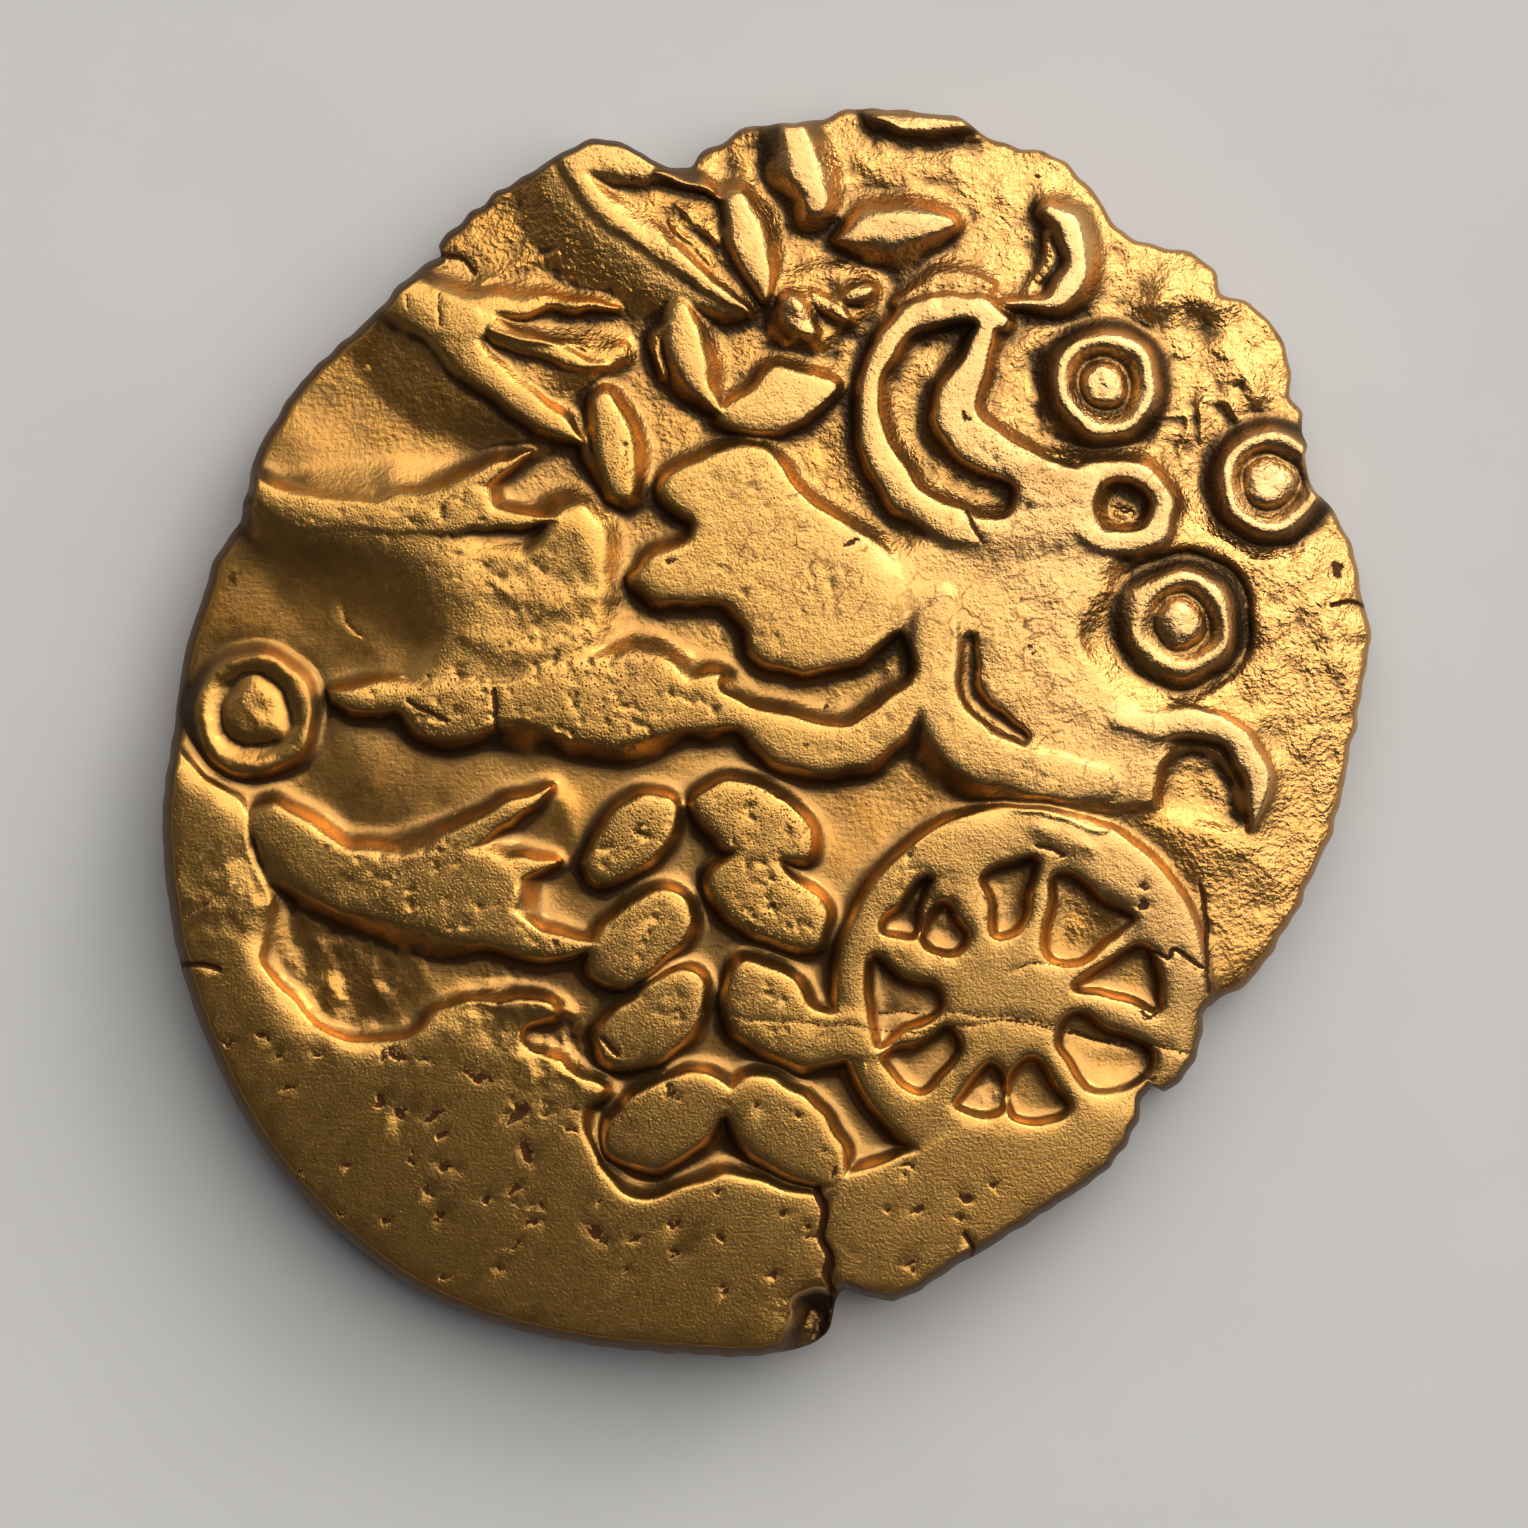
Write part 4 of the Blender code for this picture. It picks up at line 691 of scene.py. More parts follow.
def spline_through(p0, p1, p2, p3, steps):
    """Points between each p1 and p2, as an array of spans by steps by coordinates."""
    def knot_gap(a, b):
        return np.sqrt(np.hypot(*(b - a)[:, :2].T)).clip(1e-6)[:, None, None]

    t1 = knot_gap(p0, p1)
    t2 = t1 + knot_gap(p1, p2)
    t3 = t2 + knot_gap(p2, p3)
    t = t1 + (t2 - t1) * (np.arange(steps) / steps)[None, :, None]
    p0, p1, p2, p3 = (p[:, None, :] for p in (p0, p1, p2, p3))
    a1 = (t1 - t) / t1 * p0 + t / t1 * p1
    a2 = (t2 - t) / (t2 - t1) * p1 + (t - t1) / (t2 - t1) * p2
    a3 = (t3 - t) / (t3 - t2) * p2 + (t - t2) / (t3 - t2) * p3
    b1 = (t2 - t) / t2 * a1 + t / t2 * a2
    b2 = (t3 - t) / (t3 - t1) * a2 + (t - t1) / (t3 - t1) * a3
    return (t2 - t) / (t2 - t1) * b1 + (t - t1) / (t2 - t1) * b2


def from_segment(x, y, start, end):
    """How far along a segment the nearest place on it lies, 0 to 1, and the square of its distance."""
    (ax, ay), (bx, by) = start[:2], end[:2]
    dx, dy = bx - ax, by - ay
    along = np.clip(((x - ax) * dx + (y - ay) * dy) / max(dx * dx + dy * dy, TINY), 0, 1)
    return along, (x - ax - along * dx) ** 2 + (y - ay - along * dy) ** 2


def distance_inside(x, y, outline):
    """How far each place lies inside a closed outline, negative outside."""
    nearest = np.full(x.shape, np.inf)
    inside = np.zeros(x.shape, bool)
    for start, end in zip(outline, np.roll(outline, -1, axis=0)):
        nearest = np.minimum(nearest, from_segment(x, y, start, end)[1])
        (ax, ay), (bx, by) = start, end
        if ay != by:
            inside ^= ((ay > y) != (by > y)) & (x < ax + (y - ay) * (bx - ax) / (by - ay))
    return np.where(inside, 1.0, -1.0) * np.sqrt(nearest)


def share_across(x, y, spine):
    """The share of the half width at each place: 0 on the spine and 1 at the side."""
    share = np.full(x.shape, np.inf)
    for start, end in zip(spine[:-1], spine[1:]):
        along, away = from_segment(x, y, start, end)
        half_width = start[2] + along * (end[2] - start[2])
        share = np.minimum(share, np.sqrt(away) / np.maximum(half_width, TINY))
    return share


def blur(field, size):
    """A Gaussian blur of a sheet, size being its spread in cells."""
    down, across = field.shape
    freq_y = np.fft.fftfreq(down)[:, None]
    freq_x = np.fft.rfftfreq(across)[None, :]
    keep = np.exp(-2 * (math.pi * size) ** 2 * (freq_y ** 2 + freq_x ** 2))
    return np.fft.irfft2(np.fft.rfft2(field) * keep, field.shape)


def noise(rng, shape, size):
    """Even random swells of about the given size, with a spread of 1."""
    field = blur(rng.standard_normal(shape), size)
    return field / field.std()


class Sheet:
    """A fine sheet of heights over the photograph's frame, one cell a pixel, with carving drawn on it."""

    def __init__(self, shoulder, rng, warp):
        left, top = SHEET_LEFT + 0.5, SHEET_TOP + 0.5
        self.x, self.y = np.meshgrid(np.arange(left, SHEET_RIGHT), np.arange(top, SHEET_BOTTOM))
        self.plain_x, self.plain_y = self.x, self.y
        if warp:
            self.x = self.x + warp * noise(rng, self.x.shape, WARP_SIZE)
            self.y = self.y + warp * noise(rng, self.y.shape, WARP_SIZE)
        self.shoulder = shoulder
        self.height = np.zeros(self.x.shape)
        self.moat = np.zeros(self.x.shape)

    def near(self, curve, margin):
        """The window of cells within margin of the curve's box."""
        low, high = curve[:, :2].min(axis=0) - margin - 6, curve[:, :2].max(axis=0) + margin + 6
        down, across = self.height.shape
        rows = slice(max(int(low[1]) - SHEET_TOP, 0), max(min(int(high[1]) - SHEET_TOP + 1, down), 0))
        cols = slice(max(int(low[0]) - SHEET_LEFT, 0), max(min(int(high[0]) - SHEET_LEFT + 1, across), 0))
        return (rows, cols)

    def lift(self, here, height):
        self.height[here] = np.maximum(self.height[here], height)

    def sink(self, here, floor, share):
        self.height[here] += (np.minimum(floor, self.height[here]) - self.height[here]) * share

    def raise_plateau(self, level, shoulder_share, points):
        """A flat top with a shoulder outside it."""
        outline = closed_curve(points)
        shoulder = shoulder_share * self.shoulder
        here = self.near(outline, shoulder)
        depth = distance_inside(self.x[here], self.y[here], outline)
        self.lift(here, level * smooth_step(1 + depth / shoulder))

    def raise_stroke(self, level, crest, points):
        """A ridge or leaf that tapers along its spine, at full height over its crest."""
        spine = open_curve(points)
        here = self.near(spine, spine[:, 2].max())
        share = share_across(self.x[here], self.y[here], spine)
        self.lift(here, level * rounded((1 - share) / (1 - crest)))

    def from_centre(self, here, centre, sway):
        """Distance from a centre, with a share of the warp."""
        x = self.plain_x[here] * (1 - sway) + self.x[here] * sway
        y = self.plain_y[here] * (1 - sway) + self.y[here] * sway
        return np.hypot(x - centre[0], y - centre[1])

    def raise_disc(self, centre, radius, level, tilt=0.0):
        """A round flat top, which may be tilted so that its upper right is the higher."""
        here = self.near(np.array([centre]), radius + self.shoulder)
        beyond = self.from_centre(here, centre, WHEEL_SWAY) - radius
        slope = upper_right(self.x[here] - centre[0], self.y[here] - centre[1]) / radius
        self.lift(here, (level + tilt * slope) * smooth_step(1 - beyond / self.shoulder))

    def raise_ring(self, ring):
        """A pellet inside a ring, in a shallow moat."""
        centre_x, centre_y, pellet, ring_radius, outer, level = ring
        wall = RING_WALL / PIXEL_Y
        here = self.near(np.array([(centre_x, centre_y)]), outer + 2 * wall)
        radius = self.from_centre(here, (centre_x, centre_y), RING_SWAY)
        half_crest = 0.5 * RING_CREST / PIXEL_Y
        crest_start, crest_end = ring_radius - half_crest, ring_radius + half_crest
        inner_slope = rounded(1 - (crest_start - radius) / (crest_start - pellet))
        inner_side = RING_FLOOR_SHARE + (1 - RING_FLOOR_SHARE) * inner_slope
        outer_side = rounded((outer - radius) / (outer - crest_end))
        ring_top = np.where(radius < ring_radius, inner_side, outer_side)
        dome = np.sqrt(np.clip(1 - (radius / pellet) ** PELLET_FLATNESS, 0, 1))
        moat_width = MOAT_WIDTH_SHARE * wall
        moat = smooth_step(1 - np.abs(radius - outer - MOAT_OFFSET_SHARE * wall) / moat_width)
        within = smooth_step((outer + wall - radius) / moat_width)
        carved = level * np.maximum(ring_top, dome) - MOAT_DEPTH_SHARE * moat
        self.height[here] += (carved - self.height[here]) * within
        # Painted shade: bands round the pellet's foot and on the ring's outer slope, kept to darken the
        # colour
        furrow = FURROW_SHADE * smooth_step(1 - np.abs(radius - pellet - FURROW_OFFSET) / FURROW_WIDTH)
        outside = smooth_step(1 - np.abs(radius - outer + MOAT_SHADE_OFFSET) / (MOAT_SHADE_SHARE * wall))
        self.moat[here] = np.maximum(self.moat[here], np.maximum(outside, furrow) * level)

    def sink_hollow(self, floor, points, shoulder_share):
        outline = closed_curve(points)
        shoulder = shoulder_share * self.shoulder
        here = self.near(outline, shoulder)
        depth = distance_inside(self.x[here], self.y[here], outline)
        self.sink(here, floor, smooth_step(0.5 + depth / shoulder))

    def sink_groove(self, floor, points):
        """A furrow, at its full depth over the inner half of its width."""
        spine = open_curve(points)
        here = self.near(spine, 2 * spine[:, 2].max())
        self.sink(here, floor, smooth_step(1.5 - share_across(self.x[here], self.y[here], spine)))

    def add_stroke(self, height, points):
        """A soft ridge, or a furrow where the height is below 0, on top of what is there."""
        spine = open_curve(points)
        here = self.near(spine, 2 * spine[:, 2].max())
        share = share_across(self.x[here], self.y[here], spine)
        self.height[here] += height * np.exp(-1.4 * share ** 2)

    def add_spot(self, height, spot):
        """An oval bump, or a pit where the height is below 0."""
        x, y, long, short, turn = spot
        here = self.near(np.array([(x, y)]), 2.5 * long)
        turn = math.radians(turn)
        dx = self.plain_x[here] + self.ragged[0][here] - x
        dy = self.plain_y[here] + self.ragged[1][here] - y
        along = (dx * math.cos(turn) + dy * math.sin(turn)) / long
        across = (dy * math.cos(turn) - dx * math.sin(turn)) / short
        self.height[here] += height * np.exp(-(along ** 2 + across ** 2) ** 1.5)

    def soften(self, worn):
        """Rounds the carving off, most of all where it is worn."""
        fine, broad = blur(self.height, SOFTNESS), blur(self.height, BROAD_SOFTNESS)
        self.height = fine + (broad - fine) * BROAD_SHARE
        self.height += (blur(self.height, WORN_SOFTNESS) - self.height) * worn

    def facing_away_from_light(self, size):
        """1 on slopes towards the lower left, away from the light, 0 on slopes towards the upper right.
        """
        down, across = np.gradient(blur(self.height, size))
        rise = upper_right(across, down)
        return smooth_step(0.5 + FACING_CONTRAST * rise / (np.hypot(down, across) + FACING_FLAT))

    def round_feet(self, crisp):
        """Rounds the feet of the carving out into the field, less where it is crisp."""
        low = 1 - smooth_step((self.height - FILLET_LOW) / FILLET_SPAN)
        share = low * (1 - crisp) * (1 - FILLET_OPEN_SHARE * self.facing_away_from_light(FILLET_SOFTNESS))
        self.height += (blur(self.height, FILLET_SOFTNESS) - self.height) * share

    def read(self, field, x, y):
        """A field of the sheet at places in pixels, between its cells."""
        down, across = field.shape
        col = np.clip(x - SHEET_LEFT - 0.5, 0, across - 1.001)
        row = np.clip(y - SHEET_TOP - 0.5, 0, down - 1.001)
        c, r = col.astype(int), row.astype(int)
        u, v = col - c, row - r
        upper = field[r, c] * (1 - u) + field[r, c + 1] * u
        lower = field[r + 1, c] * (1 - u) + field[r + 1, c + 1] * u
        return upper * (1 - v) + lower * v


def outline_box():
    outline = closed_curve(FLAN_OUTLINE)
    return outline.min(axis=0), outline.max(axis=0)


LOW, HIGH = outline_box()
MIDDLE = (LOW + HIGH) / 2
PIXEL_X, PIXEL_Y = COIN_WIDTH / (HIGH[0] - LOW[0]), COIN_LENGTH / (HIGH[1] - LOW[1])


def to_pixels(x, y):
    """Real places on the coin as pixels of the drawing, whose y runs down."""
    return MIDDLE[0] + x / PIXEL_X, MIDDLE[1] - y / PIXEL_Y


def to_coin(x, y):
    """Pixels of the drawing as real places on the coin."""
    return (x - MIDDLE[0]) * PIXEL_X, (MIDDLE[1] - y) * PIXEL_Y


def even_angles(count):
    """Angles at an even spacing, all the way round."""
    return np.linspace(-math.pi, math.pi, count, endpoint=False)


def round_the_rim(angle, known_angles, values):
    """Values known at some angles, read at others."""
    return np.interp(angle, known_angles, values, period=2 * math.pi)


def some_waves(values, first, last):
    """Only the waves from first to last of a line of values that closes on itself."""
    waves = np.fft.rfft(values)
    waves[:first] = 0
    waves[last:] = 0
    return np.fft.irfft(waves, len(values))


def outline_crinkle():
    """Small even unevenness of the flan's edge, all the way round."""
    line = some_waves(np.random.default_rng(SEED).standard_normal(CRINKLE_STEPS), *CRINKLE_WAVES)
    return line / line.std() * EDGE_CRINKLE


OUTLINE_CRINKLE = outline_crinkle()


def towards_light(angle, shares):
    """A middle share, and how much more of it there is on the flan's upper right."""
    return shares[0] + shares[1] * np.cos(angle - math.radians(ROUNDING_TOWARDS))


def flan_radius(angle):
    """How far the flan reaches at each angle, and the same without its chips and notches."""
    outline = closed_curve(FLAN_OUTLINE) - MIDDLE
    x, y = outline[:, 0] * PIXEL_X, -outline[:, 1] * PIXEL_Y
    order = np.argsort(np.arctan2(y, x))
    around, reach = np.arctan2(y, x)[order], np.hypot(x, y)[order]
    even = even_angles(OUTLINE_PLACES)
    smooth = some_waves(round_the_rim(even, around, reach), 0, OUTLINE_WAVES)
    crinkle = round_the_rim(angle, even_angles(CRINKLE_STEPS), OUTLINE_CRINKLE)
    crinkle = crinkle * towards_light(angle, CRINKLE_SHARES)
    return round_the_rim(angle, around, reach) + crinkle, round_the_rim(angle, even, smooth)


def face_sheet(rng):
    """The face's carving, as a share of its relief, with its fine relief."""
    sheet = Sheet(SHOULDER_WIDTH / PIXEL_Y, rng, WARP)
    for level, shoulder_share, points in PLATEAUS.values():
        sheet.raise_plateau(level, shoulder_share, points)
    sheet.raise_disc(WHEEL_CENTRE, WHEEL_RADIUS, WHEEL_HEIGHT_SHARE, WHEEL_TILT)
    for level, crest, points in STROKES.values():
        sheet.raise_stroke(level, crest, points)
    for ring in RINGS.values():
        sheet.raise_ring(ring)
    for floor, points in HOLLOWS.values():
        sheet.sink_hollow(floor, points, HOLLOW_SHOULDER_SHARE)
    for floor, points in GROOVES.values():
        sheet.sink_groove(floor, points)
    for points in WHEEL_POCKETS.values():
        sheet.sink_hollow(WHEEL_FLOOR_SHARE, points, POCKET_SHOULDER_SHARE)
    sheet.soften(strength_at(sheet, WORN_PLACES))
    sheet.round_feet(strength_at(sheet, CRISP_PLACES))
    sheet.carved = sheet.height.copy()
    share_of_mm = MM / RELIEF_HEIGHT
    for height, points in RIDGES.values():
        sheet.add_stroke(height * share_of_mm, points)
    before = sheet.height.copy()
    sheet.ragged = [RAGGED * noise(rng, sheet.height.shape, RAGGED_SIZE) for _ in range(2)]
    for depth, half_width, points in CRACKS:
        sheet.add_stroke(-depth * share_of_mm, [(*place, half_width) for place in points])
    for points in SCRATCHES:
        sheet.add_stroke(-SCRATCH_DEPTH * share_of_mm, [(*place, SCRATCH_HALF_WIDTH) for place in points])
    for spot in PITS:
        sheet.add_spot(-PIT_DEPTH * share_of_mm, spot)
    sheet.dark = np.clip((before - sheet.height) / (PIT_DEPTH * share_of_mm), 0, 1)
    return sheet


def strength_at(sheet, spots):
    """A soft field, 0 to 1, that is strong round each of the spots."""
    field = np.zeros(sheet.height.shape)
    for x, y, radius, strength in spots:
        away = ((sheet.plain_x - x) ** 2 + (sheet.plain_y - y) ** 2) / radius ** 2
        field = np.maximum(field, strength * np.exp(-1.2 * away))
    return field


def tops(sheet):
    """1 on the tops of the carving, 0 in the field."""
    return smooth_step((sheet.carved - TOP_START) / TOP_SPAN)


def swells(rng, shape, sizes):
    """Random swells of several sizes, laid over one another."""
    return sum(height * noise(rng, shape, size) for size, height in sizes)


def hollowness(sheet, blurs):
    """How far each place lies below what is round it."""
    return blur(sheet.height, blurs[0]) - blur(sheet.height, blurs[1])


def weather(sheet, rng):
    """Fine unevenness of the struck surface, and the fields that colour it."""
    shape = sheet.height.shape
    right, down = sheet.plain_x - MIDDLE[0], sheet.plain_y - MIDDLE[1]
    struck = smooth_step((upper_right(right, down) + STRUCK_START) / STRUCK_SPAN)
    top = tops(sheet)
    broken = strength_at(sheet, ROUGH_PLACES)
    grainy = strength_at(sheet, GRAINY) * top
    crinkle = (CRINKLE_LEAST + (1 - CRINKLE_LEAST) * struck ** 2) * (1 - CRINKLE_LOST_ON_TOP * top)
    cracked = strength_at(sheet, CRACKED_PLACES)
    speck = np.clip(noise(rng, shape, SPECK_SIZE) - 1.0, 0, 2) * grainy
    crease = np.exp(-(noise(rng, shape, CREASE_SIZES[0]) / CREASE_WIDTH) ** 2)
    crease = crease * smooth_step(noise(rng, shape, CREASE_SIZES[1])) * cracked
    sheet.height += swells(rng, shape, BROAD_SWELLS) * (1 - SWELL_LOST_ON_TOP * top)
    sheet.height -= SPECK_DEPTH * speck + CREASE_DEPTH * crease
    sheet.height += swells(rng, shape, FINE_SWELLS) * crinkle
    sheet.height += swells(rng, shape, STRUCK_SWELLS) * crinkle ** 2
    sheet.dark = np.maximum(sheet.dark, CREASE_SHADE * crease)
    sheet.height += swells(rng, shape, BROKEN_SWELLS) * broken
    slope = np.hypot(*np.gradient(blur(sheet.height, 1))) * RELIEF_HEIGHT / PIXEL_Y
    near, wide = hollowness(sheet, NEAR_BLURS), hollowness(sheet, WIDE_BLURS)
    # Painted shade: the walls and feet turned to the lower left, away from the light, and the bands round
    # the rings are darkened in colour
    facing_away_from_light = SHADE_SIDE_LEAST + (1 - SHADE_SIDE_LEAST) * sheet.facing_away_from_light(SHADE_SIDE_BLUR)
    crisp = 1 - FOOT_LOST_WHERE_CRISP * strength_at(sheet, CRISP_PLACES)
    foot = np.clip(FOOT_GAIN * near, 0, 1) * facing_away_from_light * crisp
    sheet.wall = smooth_step((slope - WALL_START) / WALL_SPAN) * facing_away_from_light
    sheet.foot = np.maximum(foot, MOAT_SHADE * blur(sheet.moat, MOAT_BLUR))
    # Brown in the recesses: patina, and partly painted shade
    sheet.recess = np.clip(RECESS_GAINS[0] * wide + RECESS_GAINS[1] * near, 0, 1)
    sheet.crest = np.clip(-CREST_GAIN * near, 0, 1)
    sheet.grainy, sheet.top, sheet.cracked = grainy, top, cracked
    # Painted light: paler towards the upper right, where the light comes from
    sheet.pale = smooth_step((right * PAINTED_LIGHT_TOWARDS[0] - down * PAINTED_LIGHT_TOWARDS[1] + PAINTED_LIGHT_START) / PAINTED_LIGHT_SPAN)
    sheet.crinkle = np.clip(crinkle + BROKEN_CRINKLE * broken, 0, 1)
    sheet.stain = strength_at(sheet, STAINED_PLACES)


def back_sheet(rng):
    """The far side's carving, as a share of its relief."""
    sheet = Sheet(BACK_SHOULDER_WIDTH / PIXEL_Y, rng, WARP)
    for points in BACK_STROKES.values():
        sheet.raise_stroke(1.0, BACK_CREST_SHARE, points)
    for centre_x, centre_y, radius in BACK_PELLETS:
        sheet.raise_disc((centre_x, centre_y), radius, 1.0)
    centre_x, centre_y = BACK_WHEEL_CENTRE
    sheet.raise_disc(BACK_WHEEL_CENTRE, BACK_WHEEL_HUB, 1.0)
    turn = 2 * math.pi / BACK_WHEEL_SPOKES
    rim = [(centre_x + BACK_WHEEL_RADIUS * math.cos(turn * step),
            centre_y + BACK_WHEEL_RADIUS * math.sin(turn * step))
           for step in range(BACK_WHEEL_SPOKES + 1)]
    sheet.raise_stroke(1.0, BACK_CREST_SHARE, [(*place, BACK_WHEEL_RIM) for place in rim])
    inner, outer = BACK_WHEEL_SPOKE
    for place in rim[:-1]:
        sheet.raise_stroke(1.0, BACK_CREST_SHARE, [(centre_x, centre_y, inner), (*place, outer)])
    sheet.soften(BACK_WORN)
    sheet.carved = sheet.height.copy()
    nothing = np.zeros(sheet.height.shape)
    sheet.grainy = sheet.dark = sheet.cracked = sheet.stain = sheet.wall = sheet.crest = nothing
    sheet.pale = sheet.crinkle = nothing + BACK_CRINKLE
    sheet.height += swells(rng, sheet.height.shape, BACK_SWELLS)
    sheet.top = tops(sheet)
    # Brown and painted shade in the hollows of the far side
    sheet.recess = sheet.foot = np.clip(BACK_RECESS_GAIN * hollowness(sheet, BACK_BLURS), 0, 1)
    return sheet


def face_height(sheet, x, y, reach, smooth):
    """Height of the domed face, with its carving and its rounded edge."""
    radius = np.hypot(x, y)
    field = FACE_EDGE_HEIGHT + DOME_RISE * (1 - np.clip(radius / smooth, 0, 1) ** 2)
    top = field + RELIEF_HEIGHT * sheet.read(sheet.height, *to_pixels(x, y))
    rounding = FACE_ROUNDING * towards_light(np.arctan2(y, x), ROUNDING_SHARES)
    inward = np.clip((reach - radius) / rounding, 0, 1)
    middle = EDGE_BAND_HIGH * FACE_EDGE_HEIGHT
    return middle + (top - middle) * np.sqrt(1 - (1 - inward) ** 2)


def back_height(sheet, x, y, reach, smooth):
    """Height of the hollow side: a rounded edge, a flat rim to rest on and a dish."""
    radius = np.hypot(x, y)
    edge = np.clip((reach - radius) / BACK_ROUNDING, 0, 1)
    rounding = EDGE_BAND_LOW * FACE_EDGE_HEIGHT * (1 - np.sqrt(1 - (1 - edge) ** 2))
    dish_radius = smooth - BACK_ROUNDING - REST_RIM_WIDTH
    inward = np.clip(1 - radius / dish_radius, 0, 1)
    dish = DISH_DEPTH * (1 - (1 - inward) ** 2)
    carving = BACK_RELIEF_HEIGHT * sheet.read(sheet.height, *to_pixels(x, y))
    carving = np.minimum(carving, BACK_CARVING_SHARE * dish)
    return rounding + np.maximum(dish - carving, 0)


def disc_places(u, v):
    """A square's places, -1 to 1, as an angle and a share of the radius, ring by ring."""
    share = np.maximum(np.abs(u), np.abs(v))
    safe = np.maximum(share, TINY)
    wide = np.abs(u) >= np.abs(v)
    eighth = math.pi / 4
    along_x = eighth * v / safe * np.sign(u) + np.where(u < 0, math.pi, 0.0)
    along_y = 2 * eighth * np.sign(v) - eighth * u / safe * np.sign(v)
    return np.where(wide, along_x, along_y), 1 - (1 - share) ** EDGE_CROWDING


def coin_piece(face, back):
    """One closed mesh: a square sheet for each side, drawn out to the flan and joined at the edge."""
    line = np.linspace(-1, 1, MESH_STEPS + 1)
    u, v = np.meshgrid(line, line)
    angle, share = disc_places(u.ravel(), v.ravel())
    reach, smooth = flan_radius(angle)
    radius = share * (smooth + (reach - smooth) * share ** NOTCH_FADE)
    x, y = radius * np.cos(angle), radius * np.sin(angle)
    face_places = np.column_stack([x, y, face_height(face, x, y, reach, smooth)])
    back_places = np.column_stack([x, y, back_height(back, x, y, reach, smooth)])
    count = len(x)
    index = np.arange(count).reshape(MESH_STEPS + 1, MESH_STEPS + 1)
    quads = np.stack([index[:-1, :-1], index[:-1, 1:], index[1:, 1:], index[1:, :-1]], axis=-1)
    quads = quads.reshape(-1, 4)
    border = np.concatenate([index[0, :-1], index[:-1, -1], index[-1, :0:-1], index[:0:-1, 0]])
    after = np.roll(border, -1)
    wall = np.column_stack([border + count, after + count, after, border])
    faces = np.vstack([quads, quads[:, ::-1] + count, wall])
    mesh = bpy.data.meshes.new("struck_coin")
    mesh.vertices.add(2 * count)
    mesh.vertices.foreach_set("co", np.vstack([face_places, back_places]).ravel())
    mesh.loops.add(faces.size)
    mesh.loops.foreach_set("vertex_index", faces.ravel())
    mesh.polygons.add(len(faces))
    mesh.polygons.foreach_set("loop_start", np.arange(0, faces.size, 4))
    mesh.update(calc_edges=True)
    mesh.validate()
    piece = bpy.data.objects.new("struck_coin", mesh)
    bpy.context.scene.collection.objects.link(piece)
    thin = piece.modifiers.new("fewer_faces", "DECIMATE")
    thin.ratio = MOST_TRIANGLES / (2 * len(faces))
    thin.use_collapse_triangulate = True
    graph = bpy.context.evaluated_depsgraph_get()
    fewer = bpy.data.meshes.new_from_object(piece.evaluated_get(graph))
    piece.modifiers.clear()
    piece.data = fewer
    bpy.data.meshes.remove(mesh)
    fewer.name = "struck_coin"
    fewer.shade_smooth()
    return piece


SURFACE_FIELDS = (
    "recess", "foot", "wall", "crest", "top", "pale", "grainy", "crinkle", "cracked", "dark", "stain",
)


def colour_fields(piece, face, back):
    """Gives each point of the mesh its share of each field, for the material."""
    mesh = piece.data
    places = np.empty(3 * len(mesh.vertices))
    mesh.vertices.foreach_get("co", places)
    x, y, z = places.reshape(-1, 3).T
    on_face = z > EDGE_BAND_HIGH * FACE_EDGE_HEIGHT - SEAM_MARGIN
    pixels = to_pixels(x, y)
    reach, _ = flan_radius(np.arctan2(y, x))
    normals = np.empty(3 * len(mesh.vertices))
    mesh.vertices.foreach_get("normal", normals)
    upright = np.abs(normals[2::3])
    inward = (reach - np.hypot(x, y)) / FACE_ROUNDING
    edge = smooth_step((EDGE_UPRIGHT - upright) / EDGE_SPAN) * smooth_step(EDGE_REACH - inward)
    for name in SURFACE_FIELDS:
        values = np.where(on_face, face.read(getattr(face, name), *pixels),
                          back.read(getattr(back, name), *pixels))
        field = mesh.attributes.new(name, "FLOAT", "POINT")
        field.data.foreach_set("value", values.astype(np.float32))
    field = mesh.attributes.new("edge", "FLOAT", "POINT")
    field.data.foreach_set("value", edge.astype(np.float32))


